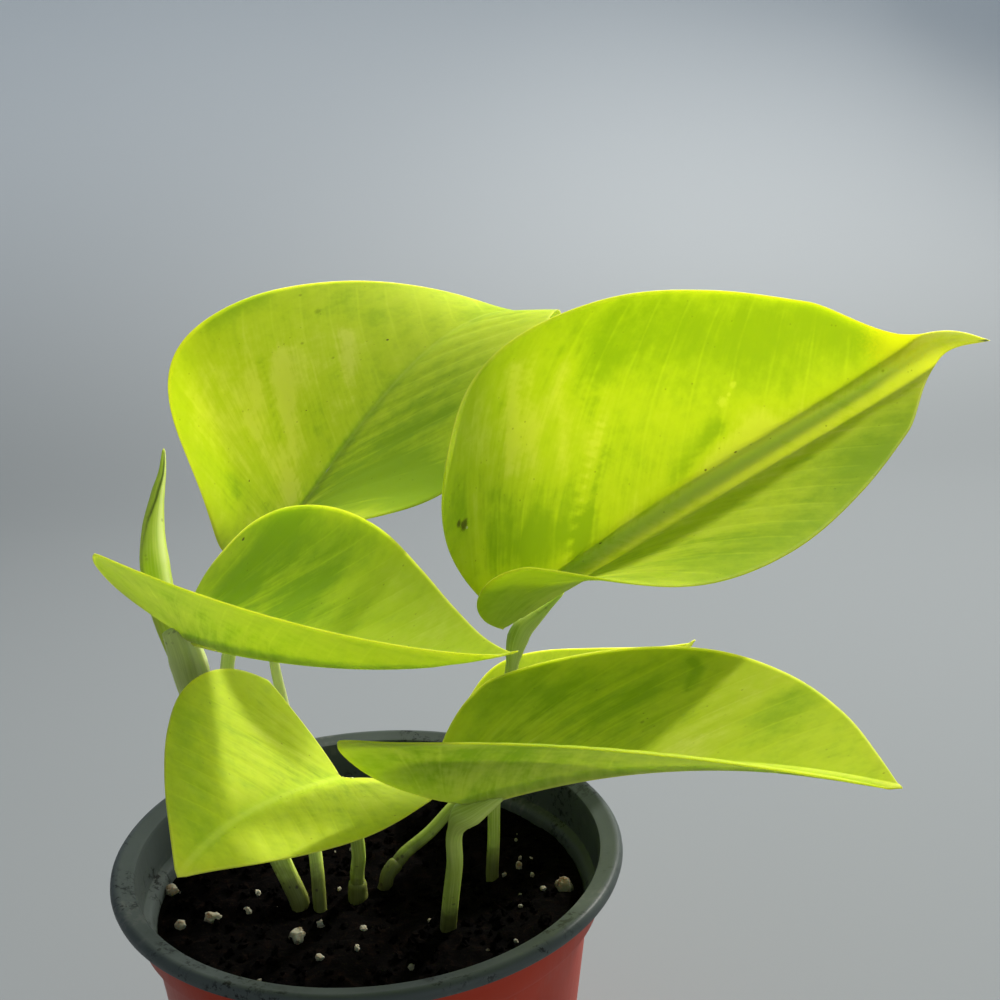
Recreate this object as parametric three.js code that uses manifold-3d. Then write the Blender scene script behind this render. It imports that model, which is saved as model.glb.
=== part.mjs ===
// A neon pothos of rooted cuttings in a round 100 mm nursery pot, in millimetres, +Z up.
// The origin is the middle of the pot's flat base. The plant faces -Y.
import * as THREE from "three";
import { mergeVertices } from "three/addons/utils/BufferGeometryUtils.js";
import Module from "manifold-3d";

const wasm = await Module();
wasm.setup();

// Pot, one thin formed sheet
const rimRadius = 50.3; // outside of the rolled lip
const rimTop = 85.6;
const baseRadius = 34;
const sheet = 0.9; // thickness of the plastic
const floorSheet = 1.2;
const wallTopRadius = 43.6; // body wall just under the collar
const collarFoot = 75.0; // height of the step under the collar
const collarRadius = 46.2;
const drainHoles = 6;
const drainRadius = 3.25;
const drainCircle = 21;
const potFacets = 44;

// Soil, with perlite grains in its surface
const soilTop = 74;
const soilGap = 0.35; // clearance to the pot
const soilRings = 10;
const soilFacets = potFacets; // in line with the pot's, so that the clearance is even
const crumbHeight = 0.75;
const perliteCount = 30;

// Plant
const bladeThickness = 0.8;
const touch = 0.3; // clearance between pieces that meet
const neckLength = 2.6; // from the end of a petiole to the blade
const buriedDepth = 15; // how far a cutting stands in the soil
const holeClearance = 0.45;
const bladeRows = 24; // steps from the leaf's base to its tip
const bladeColumns = 4; // steps from the midrib to the margin
const stemSides = 8;

const degrees = THREE.MathUtils.degToRad;
const vec = (x, y, z) => new THREE.Vector3(x, y, z);

// A seeded random draw, so that every run gives the same soil
function seededRandom(seed) {
  let state = seed >>> 0;
  return () => {
    state = (state + 0x6d2b79f5) >>> 0;
    let t = state;
    t = Math.imul(t ^ (t >>> 15), t | 1);
    t ^= t + Math.imul(t ^ (t >>> 7), t | 61);
    return ((t ^ (t >>> 14)) >>> 0) / 4294967296;
  };
}

// Solids: three.js geometry to manifold-3d and back

function toSolid(geometry) {
  const bare = geometry.clone();
  bare.deleteAttribute("normal");
  bare.deleteAttribute("uv");
  const merged = mergeVertices(bare, 1e-4);
  return new wasm.Manifold(
    new wasm.Mesh({
      numProp: 3,
      vertProperties: new Float32Array(merged.attributes.position.array),
      triVerts: new Uint32Array(merged.index.array),
    }),
  );
}

function toGeometry(solid) {
  const mesh = solid.getMesh();
  const positions = new Float32Array(mesh.numVert * 3);
  for (let i = 0; i < mesh.numVert; i++) {
    for (let k = 0; k < 3; k++) {
      positions[3 * i + k] = mesh.vertProperties[i * mesh.numProp + k];
    }
  }
  return new THREE.BufferGeometry()
    .setAttribute("position", new THREE.BufferAttribute(positions, 3))
    .setIndex(new THREE.BufferAttribute(new Uint32Array(mesh.triVerts), 1));
}

function geometryFrom(points, faces) {
  return new THREE.BufferGeometry().setFromPoints(points).setIndex(faces.flat());
}

// A closed tube along a smooth curve, its radius given as a function of the way along
function taperedTube(points, radiusAt, steps, sides = stemSides, sectionAt = () => 1) {
  const curve = new THREE.CatmullRomCurve3(points, false, "centripetal");
  const frames = curve.computeFrenetFrames(steps, false);
  const vertices = [];
  for (let i = 0; i <= steps; i++) {
    const centre = curve.getPointAt(i / steps);
    for (let k = 0; k < sides; k++) {
      const turn = (2 * Math.PI * k) / sides;
      const radius = radiusAt(i / steps) * sectionAt(k / sides);
      const out = frames.normals[i].clone().multiplyScalar(Math.cos(turn) * radius);
      out.addScaledVector(frames.binormals[i], Math.sin(turn) * radius);
      vertices.push(centre.clone().add(out));
    }
  }
  const faces = [];
  for (let i = 0; i < steps; i++) {
    for (let k = 0; k < sides; k++) {
      const a = i * sides + k;
      const b = i * sides + ((k + 1) % sides);
      faces.push([a, b, b + sides], [a, b + sides, a + sides]);
    }
  }
  const start = vertices.push(curve.getPointAt(0)) - 1;
  const end = vertices.push(curve.getPointAt(1)) - 1;
  const last = steps * sides;
  for (let k = 0; k < sides; k++) {
    const next = (k + 1) % sides;
    faces.push([start, next, k], [end, last + k, last + next]);
  }
  return geometryFrom(vertices, faces);
}

// Pot: a tapered wall, a collar that stands out over it, and a dished rim with a turned-down lip
function makePot() {
  const outside = [
    [0, 0],
    [baseRadius, 0],
    [baseRadius + 0.9, 0.9],
    [wallTopRadius, collarFoot - 0.8],
    [wallTopRadius + 0.5, collarFoot - 0.2],
    [collarRadius - 0.5, collarFoot + 0.2],
    [collarRadius - 0.2, collarFoot + 0.9],
    [collarRadius + 0.5, rimTop - 2],
    [rimRadius - 1.2, rimTop - 1.6],
    [rimRadius - 1.0, rimTop - 2.4],
    [rimRadius - 0.2, rimTop - 2.4],
    [rimRadius, rimTop - 1.2],
    [rimRadius - 0.5, rimTop - 0.3],
  ];
  const rim = [
    [rimRadius - 1.3, rimTop],
    [rimRadius - 2.6, rimTop - 0.5],
    [rimRadius - 3.9, rimTop - 0.6],
    [rimRadius - 4.5, rimTop - 0.9],
  ];
  const inside = [
    [collarRadius - 1.1, collarFoot + 1.3],
    [wallTopRadius - 0.1, collarFoot + 0.5],
    [wallTopRadius - sheet, collarFoot - 0.6],
    [baseRadius + 0.1, floorSheet + 0.7],
    [baseRadius - 0.6, floorSheet],
    [0, floorSheet],
  ];
  const profile = [...outside, ...rim, ...inside].map(([r, z]) => new THREE.Vector2(r, z));
  const shell = new THREE.LatheGeometry(profile, potFacets).rotateX(Math.PI / 2);
  let solid = toSolid(shell);
  if (solid.volume() < 0) throw new Error("the pot's profile runs the wrong way");
  for (let i = 0; i < drainHoles; i++) {
    const turn = (2 * Math.PI * (i + 0.5)) / drainHoles;
    const drill = new THREE.CylinderGeometry(drainRadius, drainRadius, 6, 12)
      .rotateX(Math.PI / 2)
      .translate(drainCircle * Math.cos(turn), drainCircle * Math.sin(turn), 0);
    solid = solid.subtract(toSolid(drill));
  }
  return toGeometry(solid);
}

// Inner radius of the pot's wall at a height
function innerRadius(z) {
  const rise = (z - floorSheet) / (collarFoot - 0.6 - floorSheet);
  return THREE.MathUtils.lerp(baseRadius, wallTopRadius - sheet, rise);
}

// Stems: where each meets the soil, and the points it passes on the way up
// reach = the middle of the piece at each point, from the soil upwards
const stems = {
  stem_left: {
    soil: vec(-14.6, -2.4, soilTop),
    reach: [vec(-17.6, 0.6, 82), vec(-20.6, 3.6, 89)],
    radius: [2.0, 2.0, 2.2],
    steps: 8,
  },
  stem_middle: {
    soil: vec(-3, -0.6, soilTop),
    reach: [vec(-2.9, -1.0, 78)],
    radius: [1.9, 2.1, 1.8],
    steps: 5,
  },
  stem_slanted: {
    soil: vec(2.4, 1.2, soilTop),
    lean: vec(0.3, -0.2, 0.93),
    reach: [vec(3.3, 1.5, 76.8), vec(5.8, 2.9, 79)],
    radius: [1.4, 1.4, 1.7],
    steps: 7,
  },
  stalk_bare: {
    soil: vec(-10.6, -3.4, soilTop),
    lean: vec(0, 0.1, 1),
    reach: [
      vec(-10.8, -1, 84),
      vec(-12.6, 6.5, 95),
      vec(-16, 16, 112),
      vec(-17, 19, 118),
      vec(-17, 22, 124),
    ],
    radius: [1.4, 1.25, 1.1, 0.9, 0.5],
    steps: 14,
  },
};

// Leaves. base is the sinus, where the petiole meets the blade. heading, pitch and roll turn the
// blade there; bend, curl, sway and twist are how much they change by the tip. left and right are
// the two half widths, with the fold at the midrib, the curve across the half, the extra cupping
// round the base, and the length of the lobe behind the sinus.
const leaves = {
  leaf_back_left: {
    base: vec(-10, 41, 143),
    heading: 29,
    pitch: 46,
    roll: 6,
    length: 90,
    bend: -11,
    curl: -89,
    sway: 7,
    twist: -10,
    left: { width: 59.5, fold: 4, curve: 27, cup: -29, lobe: 0.87 },
    right: { width: 44, fold: 8, curve: -7, cup: 29, lobe: 1 },
    petiole: {
      name: "petiole_back_left",
      reach: [
        vec(-16.9, 5.5, 86),
        vec(-21, 8.8, 97),
        vec(-25, 12.2, 106),
        vec(-26.5, 15.5, 113.5),
        vec(-26, 19.5, 119.5),
        vec(-23, 26, 126),
        vec(-17, 33.5, 131.5),
      ],
      radius: [1.2, 1.4, 1.5, 1.3, 1.3],
      steps: 18,
    },
  },
  leaf_back_right: {
    base: vec(31.5, 3, 127.5),
    heading: 19,
    pitch: 28,
    roll: 39,
    length: 110.5,
    bend: -5,
    curl: 15,
    sway: -25,
    twist: 25,
    left: { width: 55, fold: 14, curve: 71, cup: 39, lobe: 0.26 },
    right: { width: 44.5, fold: 71, curve: -19, cup: 30, lobe: 0.4 },
    petiole: {
      name: "petiole_back_right",
      soil: vec(24.4, 1, soilTop),
      reach: [vec(25, 1.5, 82.5), vec(25.5, 2, 91), vec(27, 2.5, 102), vec(29, 2.5, 114)],
      radius: [1.4, 1.3, 1.3, 1.3, 1.4],
      steps: 15,
    },
  },
  leaf_front_left: {
    base: vec(-31, -3, 133),
    heading: -60,
    pitch: 10,
    roll: -5,
    length: 85,
    bend: -2,
    curl: 13,
    sway: 22,
    twist: 0,
    left: { width: 32.5, fold: 29, curve: 31, cup: -1, lobe: 0.92 },
    right: { width: 26.5, fold: 52, curve: -10, cup: 0, lobe: 0.97 },
    petiole: {
      name: "petiole_front_left",
      on: "stem_left",
      reach: [vec(-26.5, 6.5, 103.5), vec(-31, 5.5, 117), vec(-31.8, 2, 125)],
      radius: [2.0, 2.3, 3.0, 2.6, 1.6],
      steps: 14,
    },
  },
  leaf_low_left: {
    base: vec(-4.5, -15, 107.5),
    heading: 229,
    pitch: 16,
    roll: -9,
    length: 54.5,
    bend: -6,
    curl: -7,
    sway: 27,
    twist: -27,
    left: { width: 23, fold: 19, curve: 1, cup: -9, lobe: 0.99 },
    right: { width: 27.5, fold: 27, curve: 4, cup: -5, lobe: 0.13 },
    petiole: {
      name: "petiole_low_left",
      on: "stem_middle",
      reach: [vec(-2.3, -4.6, 85), vec(-2.4, -8.2, 92), vec(-2.8, -11, 99)],
      radius: [1.5, 1.4, 1.3, 1.3],
      steps: 10,
    },
  },
  leaf_front_right: {
    base: vec(16.3, -33.7, 110.7),
    heading: -25,
    pitch: 26,
    roll: -6,
    length: 84.5,
    bend: -17,
    curl: 5,
    sway: -41,
    twist: 12,
    left: { width: 34.5, fold: 20, curve: 4, cup: 7, lobe: 0.54 },
    right: { width: 38.5, fold: 41, curve: -16, cup: 9, lobe: 0.49 },
    petiole: {
      name: "petiole_front_right",
      soil: vec(14, -15, soilTop),
      lean: vec(0.02, -0.3, 1),
      reach: [vec(14.5, -19.4, 83.5), vec(15.1, -25, 94), vec(15, -30, 103)],
      radius: [1.7, 1.6, 1.5, 1.5],
      steps: 14,
    },
  },
  leaf_low_right: {
    base: vec(29.5, 19, 93.5),
    heading: 9,
    pitch: 12,
    roll: 7,
    length: 48.5,
    bend: 17,
    curl: 4,
    sway: 3,
    twist: -3,
    left: { width: 25.5, fold: 11, curve: 1, cup: -17, lobe: 1.11 },
    right: { width: 19, fold: 60, curve: 0, cup: 10, lobe: 1 },
    petiole: {
      name: "petiole_low_right",
      on: "stem_slanted",
      reach: [vec(12.5, 7.6, 82), vec(18, 12.2, 85), vec(24, 16.6, 88)],
      radius: [1.4, 1.3, 1.2, 1.2],
      steps: 12,
    },
  },
};

// The newest leaf, still rolled into a spindle, which stands in the sheath of the left petiole
const rolledLeaf = {
  reach: [
    vec(-34.6, 6.1, 122.5),
    vec(-35.6, 7.2, 129),
    vec(-37, 9.2, 136.5),
    vec(-37.5, 12, 143),
    vec(-37.5, 15, 149),
    vec(-36.5, 18, 155),
    vec(-35.5, 20, 159),
    vec(-35, 22, 163),
  ],
  radius: [1.3, 1.6, 2.4, 2.9, 2.7, 1.7, 1.0, 0.35],
};

// Half outline of a heart-shaped blade, in lengths along the midrib and half widths across it
const halfOutline = new THREE.SplineCurve(
  [
    [0, 0],
    [-0.075, 0.1],
    [-0.15, 0.3],
    [-0.16, 0.52],
    [-0.085, 0.78],
    [0.06, 0.96],
    [0.23, 1],
    [0.42, 0.9],
    [0.6, 0.68],
    [0.76, 0.42],
    [0.88, 0.2],
    [0.95, 0.08],
    [1, 0],
  ].map(([x, y]) => new THREE.Vector2(x, y)),
);

// Blade directions at a way along the midrib: along, to the left, and out of the upper face
function bladeFrame(leaf, way) {
  const ahead = Math.max(way, 0);
  const heading = degrees(leaf.heading + leaf.sway * ahead);
  const pitch = degrees(leaf.pitch + leaf.bend * ahead + leaf.curl * ahead ** 3);
  const roll = degrees(leaf.roll + leaf.twist * ahead);
  const along = vec(
    Math.cos(pitch) * Math.cos(heading),
    Math.cos(pitch) * Math.sin(heading),
    Math.sin(pitch),
  );
  const level = vec(-Math.sin(heading), Math.cos(heading), 0);
  const above = along.clone().cross(level);
  const left = level.clone().multiplyScalar(Math.cos(roll)).addScaledVector(above, Math.sin(roll));
  const up = above.multiplyScalar(Math.cos(roll)).addScaledVector(level, -Math.sin(roll));
  return { along, left, up };
}

// The midrib as a table of points, walked from the sinus to the tip
const midribSteps = 60;
function walkMidrib(leaf) {
  const points = [leaf.base.clone()];
  for (let i = 0; i < midribSteps; i++) {
    const here = bladeFrame(leaf, i / midribSteps).along;
    const next = bladeFrame(leaf, (i + 1) / midribSteps).along;
    const step = here.add(next).multiplyScalar(leaf.length / midribSteps / 2);
    points.push(points[i].clone().add(step));
  }
  return points;
}

function midribPoint(leaf, midrib, way) {
  if (way <= 0) {
    return leaf.base.clone().addScaledVector(bladeFrame(leaf, 0).along, way * leaf.length);
  }
  const at = Math.min(way, 1) * midribSteps;
  const i = Math.min(Math.floor(at), midribSteps - 1);
  return midrib[i].clone().lerp(midrib[i + 1], at - i);
}

// A point of the blade: way along the midrib, and out from it in half widths, left positive
function bladePoint(leaf, midrib, way, out) {
  const half = out >= 0 ? leaf.left : leaf.right;
  const { left, up } = bladeFrame(leaf, way);
  const base = Math.exp(-(((THREE.MathUtils.clamp(way, -0.2, 1) + 0.15) / 0.22) ** 2));
  const fold = degrees(half.fold * (1 - 0.35 * THREE.MathUtils.clamp(way, 0, 1)) + half.cup * base);
  const curve = degrees(half.curve) || 1e-6;
  const reach = Math.abs(out);
  const across = ((Math.sin(fold + curve * reach) - Math.sin(fold)) / curve) * half.width;
  const rise = ((Math.cos(fold) - Math.cos(fold + curve * reach)) / curve) * half.width;
  return midribPoint(leaf, midrib, way)
    .addScaledVector(left, out >= 0 ? across : -across)
    .addScaledVector(up, rise);
}

// A closed blade of even thickness: both faces share the same grid and the same diagonals
function makeBlade(leaf) {
  const midrib = walkMidrib(leaf);
  const points = [];
  const spine = [];
  for (let i = 0; i <= bladeRows; i++) {
    spine.push(points.push(bladePoint(leaf, midrib, (i / bladeRows) ** 1.5, 0)) - 1);
  }
  const faces = [];
  const margins = [];
  for (const side of [1, -1]) {
    const lobe = side > 0 ? leaf.left.lobe : leaf.right.lobe;
    const rows = [];
    for (let i = 0; i <= bladeRows; i++) {
      const t = i / bladeRows;
      const edge = halfOutline.getPoint(t);
      if (edge.x < 0) edge.x *= lobe;
      const row = [spine[i]];
      for (let j = 1; j <= bladeColumns; j++) {
        if (i === 0 || i === bladeRows) {
          row.push(spine[i]);
          continue;
        }
        const u = j / bladeColumns;
        const way = THREE.MathUtils.lerp(t ** 1.5, edge.x, u);
        row.push(points.push(bladePoint(leaf, midrib, way, Math.max(edge.y, 0) * u * side)) - 1);
      }
      rows.push(row);
    }
    for (let i = 0; i < bladeRows; i++) {
      for (let j = 0; j < bladeColumns; j++) {
        const [a, b] = [rows[i][j], rows[i + 1][j]];
        const [d, c] = [rows[i][j + 1], rows[i + 1][j + 1]];
        const pair = [
          [a, b, c],
          [a, c, d],
        ];
        for (const [p, q, r] of pair) {
          if (p === q || q === r || p === r) continue;
          faces.push(side > 0 ? [p, q, r] : [p, r, q]);
        }
      }
    }
    margins.push(rows.map((row) => row[bladeColumns]));
  }
  const skin = geometryFrom(points, faces);
  skin.computeVertexNormals();
  const normals = skin.attributes.normal;
  const count = points.length;
  const shell = [];
  for (const side of [1, -1]) {
    points.forEach((point, i) => {
      const out = new THREE.Vector3().fromBufferAttribute(normals, i);
      shell.push(point.clone().addScaledVector(out, (side * bladeThickness) / 2));
    });
  }
  const closed = [...faces, ...faces.map(([a, b, c]) => [a + count, c + count, b + count])];
  margins.forEach((margin, side) => {
    for (let i = 0; i < bladeRows; i++) {
      const [a, b] = side === 0 ? [margin[i], margin[i + 1]] : [margin[i + 1], margin[i]];
      closed.push([a, b, b + count], [a, b + count, a + count]);
    }
  });
  const keel = makeKeel(leaf, midrib, spine, normals);
  return toGeometry(toSolid(geometryFrom(shell, closed)).add(toSolid(keel)));
}

// The midrib stands out under the blade and thins towards the tip. It starts in a short neck,
// which the petiole meets end to end
const keelEnd = 0.86; // way along the midrib at which it dies out
const keelSteps = 9;
const keelRadius = 1.25;
function makeKeel(leaf, midrib, spine, normals) {
  const rise = neckDirection(leaf);
  const points = [
    leaf.base.clone().addScaledVector(rise, -neckLength),
    leaf.base.clone().addScaledVector(rise, -neckLength / 2),
  ];
  for (let i = 1; i <= keelSteps; i++) {
    const way = (i / keelSteps) * keelEnd;
    const row = Math.min(Math.round(way ** (1 / 1.5) * bladeRows), bladeRows - 1);
    const up = new THREE.Vector3().fromBufferAttribute(normals, spine[row]);
    const sink = 0.6 * THREE.MathUtils.lerp(keelRadius, 0.3, way / keelEnd);
    points.push(midribPoint(leaf, midrib, way).addScaledVector(up, -sink));
  }
  const thin = (t) => THREE.MathUtils.lerp(keelRadius, 0.3, t);
  return taperedTube(points, thin, keelSteps + 3, 6);
}

// The way a petiole comes up under the base of its blade
function neckDirection(leaf) {
  const { along, up } = bladeFrame(leaf, 0);
  return along.multiplyScalar(0.55).addScaledVector(up, 0.83).normalize();
}

// The last stretch of a petiole, in line with the neck of its blade
function petioleEnd(leaf) {
  const rise = neckDirection(leaf);
  const end = leaf.base.clone().addScaledVector(rise, -neckLength - touch);
  return [end.clone().addScaledVector(rise, -1.5), end];
}

// Radius along a piece, from evenly spaced values
function spread(values) {
  return (t) => {
    const at = t * (values.length - 1);
    const i = Math.min(Math.floor(at), values.length - 2);
    return THREE.MathUtils.lerp(values[i], values[i + 1], at - i);
  };
}

// The straight foot of a piece that stands in the soil
function buriedFoot(piece) {
  const lean = (piece.lean ?? vec(0, 0, 1)).clone().normalize();
  const deep = piece.soil.clone().addScaledVector(lean, -buriedDepth);
  return { lean, deep };
}

// The first stretch of a petiole that goes on from the end of a stem
function stemTop(stem) {
  const top = stem.reach.at(-1);
  const below = stem.reach.at(-2) ?? stem.soil.clone().add(vec(0, 0, 1));
  const rise = top.clone().sub(below).normalize();
  return [top.clone().addScaledVector(rise, touch), top.clone().addScaledVector(rise, 1.5)];
}

function makeStem(piece, end = []) {
  const points = [];
  if (piece.soil) {
    const { lean, deep } = buriedFoot(piece);
    points.push(deep, deep.clone().lerp(piece.soil, 0.5), piece.soil);
    points.push(piece.soil.clone().addScaledVector(lean, 1));
  }
  if (piece.on) points.push(...stemTop(stems[piece.on]));
  points.push(...piece.reach, ...end);
  return taperedTube(points, spread(piece.radius), piece.steps);
}

// Plain holes in the soil for what stands in it
function soilHoles(standing) {
  return standing.map((piece) => {
    const { lean, deep } = buriedFoot(piece);
    const radius = Math.max(...piece.radius.slice(0, 2)) + holeClearance;
    const length = buriedDepth + 8;
    const hole = new THREE.CylinderGeometry(radius, radius, length, 12);
    const turn = new THREE.Quaternion().setFromUnitVectors(vec(0, 1, 0), lean);
    const middle = deep.clone().addScaledVector(lean, length / 2 - touch);
    return hole.applyQuaternion(turn).translate(middle.x, middle.y, middle.z);
  });
}

// Perlite grains seen on the soil: place, and radius
const seenGrains = [
  [-39.8, 4.4, 1.6],
  [-37.8, -3.6, 1.4],
  [-30, -6, 1.9],
  [-22.5, -3, 1.2],
  [-15.2, -13, 1.8],
  [-9, -12, 1.1],
  [-11, -20, 1.6],
  [6.2, -25, 1.0],
  [26.5, -19.5, 1.1],
  [38, -4.5, 1.9],
  [34, -5, 1.1],
  [31.4, 16, 1.2],
];

function soilHeight(random, radius, edge) {
  const crumb = (random() - 0.5) * 2 * crumbHeight;
  return soilTop + (radius > 0.95 * edge ? 0.5 * crumb - 0.3 : crumb);
}

function makeSoil(standing) {
  const random = seededRandom(20417);
  const edge = innerRadius(soilTop) - soilGap;
  const floor = floorSheet + soilGap;
  const points = [vec(0, 0, soilTop)];
  for (let ring = 1; ring <= soilRings; ring++) {
    for (let k = 0; k < soilFacets; k++) {
      const radius = (edge * ring) / soilRings;
      const turn = (2 * Math.PI * (k + (ring < soilRings ? 0.5 * (random() - 0.5) : 0))) / soilFacets;
      const z = soilHeight(random, radius, edge);
      points.push(vec(radius * Math.cos(turn), radius * Math.sin(turn), z));
    }
  }
  const bottom = points.length;
  const low = innerRadius(floor) - soilGap - 0.7;
  for (let k = 0; k < soilFacets; k++) {
    const turn = (2 * Math.PI * k) / soilFacets;
    points.push(vec(low * Math.cos(turn), low * Math.sin(turn), floor));
  }
  const centre = points.push(vec(0, 0, floor)) - 1;
  const faces = [];
  const at = (ring, k) => (ring === 0 ? 0 : 1 + (ring - 1) * soilFacets + (k % soilFacets));
  for (let k = 0; k < soilFacets; k++) {
    faces.push([0, at(1, k), at(1, k + 1)]);
    for (let ring = 1; ring < soilRings; ring++) {
      faces.push([at(ring, k), at(ring + 1, k), at(ring + 1, k + 1)]);
      faces.push([at(ring, k), at(ring + 1, k + 1), at(ring, k + 1)]);
    }
    const [a, b] = [at(soilRings, k), at(soilRings, k + 1)];
    const [c, d] = [bottom + k, bottom + ((k + 1) % soilFacets)];
    faces.push([a, c, d], [a, d, b], [centre, d, c]);
  }
  let solid = toSolid(geometryFrom(points, faces));
  const grains = seenGrains.map(([x, y, radius]) => ({ x, y, radius }));
  while (grains.length < seenGrains.length + perliteCount) {
    const turn = 2 * Math.PI * random();
    const away = (edge - 3) * Math.sqrt(random());
    const grain = { x: away * Math.cos(turn), y: away * Math.sin(turn), radius: 1.0 + 0.7 * random() };
    const clear = standing.every((s) => Math.hypot(s.soil.x - grain.x, s.soil.y - grain.y) > 5);
    if (clear) grains.push(grain);
  }
  for (const grain of grains) {
    const shape = new THREE.OctahedronGeometry(grain.radius)
      .rotateX(random() * 3)
      .rotateZ(random() * 3)
      .scale(1, 1, 0.8)
      .translate(grain.x, grain.y, soilTop - 0.1);
    solid = solid.add(toSolid(shape));
  }
  for (const hole of soilHoles(standing)) solid = solid.subtract(toSolid(hole));
  return toGeometry(solid);
}

// The rolled leaf: a spindle whose free edge laps over itself along one side
function makeRolledLeaf() {
  const lap = (turn) => 1 - 0.26 * turn;
  return taperedTube(rolledLeaf.reach, spread(rolledLeaf.radius), 16, 12, lap);
}

// Materials
const plastic = new THREE.MeshStandardMaterial({ color: 0x8c2a18, roughness: 0.45, metalness: 0 });
const earth = new THREE.MeshStandardMaterial({ color: 0x1b1412, roughness: 0.95, metalness: 0 });
const neonLeaf = new THREE.MeshStandardMaterial({ color: 0xa4c81e, roughness: 0.38, metalness: 0 });
const paleStalk = new THREE.MeshStandardMaterial({ color: 0x9fbe4a, roughness: 0.5, metalness: 0 });
const woodyStem = new THREE.MeshStandardMaterial({ color: 0x8c9a52, roughness: 0.7, metalness: 0 });

// Assembly
const plant = new THREE.Group();
function addPiece(name, geometry, material) {
  const mesh = new THREE.Mesh(geometry, material.clone());
  mesh.name = name;
  plant.add(mesh);
}

const petioles = Object.values(leaves).map((leaf) => leaf.petiole);
const standing = [...Object.values(stems), ...petioles].filter((piece) => piece.soil);

addPiece("pot", makePot(), plastic);
addPiece("soil", makeSoil(standing), earth);
for (const [name, stem] of Object.entries(stems)) addPiece(name, makeStem(stem), woodyStem);
for (const [name, leaf] of Object.entries(leaves)) {
  addPiece(leaf.petiole.name, makeStem(leaf.petiole, petioleEnd(leaf)), paleStalk);
  addPiece(name, makeBlade(leaf), neonLeaf);
}
addPiece("leaf_rolled", makeRolledLeaf(), neonLeaf);

export default plant;
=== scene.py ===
import math
import random

import bmesh
import bpy
import numpy as np
from mathutils import Matrix, Vector, noise


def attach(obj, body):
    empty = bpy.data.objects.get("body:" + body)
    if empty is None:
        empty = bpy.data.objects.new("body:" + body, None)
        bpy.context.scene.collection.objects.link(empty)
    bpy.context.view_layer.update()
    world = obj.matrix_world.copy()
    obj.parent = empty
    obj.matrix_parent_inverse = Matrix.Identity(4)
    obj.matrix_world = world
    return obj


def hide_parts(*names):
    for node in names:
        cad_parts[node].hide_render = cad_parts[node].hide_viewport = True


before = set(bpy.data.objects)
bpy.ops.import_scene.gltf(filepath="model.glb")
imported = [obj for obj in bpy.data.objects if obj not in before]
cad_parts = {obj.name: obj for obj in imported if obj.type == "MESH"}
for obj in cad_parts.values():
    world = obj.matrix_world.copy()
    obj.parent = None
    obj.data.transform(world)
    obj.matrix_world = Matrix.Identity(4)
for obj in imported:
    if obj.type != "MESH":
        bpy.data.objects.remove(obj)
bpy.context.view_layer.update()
print("frame loaded:", len(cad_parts), "nodes")

mm = 0.001                                             # the scene is in metres
soilTop = 74 * mm
rimTop = 85.6 * mm


# Shader maths: a socket that can be added, multiplied and divided like a number

class Wire:
    def __init__(self, finish, socket):
        self.finish = finish
        self.socket = socket

    def math(self, operation, *values, clamp=False):
        return self.finish.node("ShaderNodeMath", {"operation": operation, "use_clamp": clamp}, values)

    def __add__(self, other):
        return self.math("ADD", self, other)

    def __sub__(self, other):
        return self.math("SUBTRACT", self, other)

    def __rsub__(self, other):
        return self.math("SUBTRACT", other, self)

    def __mul__(self, other):
        return self.math("MULTIPLY", self, other)

    def __truediv__(self, other):
        return self.math("DIVIDE", self, other)

    __radd__ = __add__
    __rmul__ = __mul__

    def size(self):
        return self.math("ABSOLUTE", self)

    def sine(self):
        return self.math("SINE", self)

    def most(self, other):
        return self.math("MAXIMUM", self, other)

    def held(self):                                    # kept between 0 and 1
        return self.math("ADD", self, 0, clamp=True)

    def step(self, low, high):                         # 0 below low, 1 above high, smooth between
        settings = {"interpolation_type": "SMOOTHSTEP"}
        return self.finish.node("ShaderNodeMapRange", settings, [self, low, high, 0, 1])

    def part(self, axis):                              # one component of a vector
        return self.finish.node("ShaderNodeSeparateXYZ", {}, [self], "XYZ".index(axis))


class Finish:                                          # one material with its Principled shader
    def __init__(self, name):
        self.material = bpy.data.materials.new(name)
        self.material.use_nodes = True
        self.tree = self.material.node_tree
        self.shader = self.tree.nodes["Principled BSDF"]

    def node(self, kind, settings, inputs, output=0):
        made = self.tree.nodes.new(kind)
        for key, value in settings.items():
            setattr(made, key, value)
        pairs = inputs.items() if isinstance(inputs, dict) else enumerate(inputs)
        for key, value in pairs:
            self.feed(made.inputs[key], value)
        return Wire(self, made.outputs[output])

    def feed(self, socket, value):
        if isinstance(value, Wire):
            self.tree.links.new(value.socket, socket)
        elif isinstance(value, (tuple, list)) and len(socket.default_value) == 4:
            socket.default_value = (*value, 1)
        else:
            socket.default_value = value

    def blend(self, mask, low, high):                  # colour low where the mask is 0, high where it is 1
        return self.node("ShaderNodeMix", {"data_type": "RGBA"}, {0: mask, 6: low, 7: high}, 2)

    def objectPlace(self):
        return self.node("ShaderNodeTexCoord", {}, [], 3)

    def attribute(self, name, output=1):               # 1 is its vector, 2 its single value
        return self.node("ShaderNodeAttribute", {"attribute_name": name}, [], output)

    def scaled(self, vector, factors):
        return self.node("ShaderNodeVectorMath", {"operation": "MULTIPLY"}, [vector, factors])

    def noise(self, vector, scale, detail, roughness=0.55):
        inputs = {"Vector": vector, "Scale": scale, "Detail": detail, "Roughness": roughness}
        return self.node("ShaderNodeTexNoise", {}, inputs)

    def cells(self, vector, scale):                    # the distance to the middle of the nearest cell
        return self.node("ShaderNodeTexVoronoi", {}, {"Vector": vector, "Scale": scale})

    def bump(self, height, distance, strength):
        inputs = {"Height": height, "Distance": distance, "Strength": strength}
        return self.node("ShaderNodeBump", {}, inputs)

    def surface(self, **values):
        for key, value in values.items():
            self.feed(self.shader.inputs[key.replace("_", " ")], value)
        return self.material


# Mesh helpers

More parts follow.
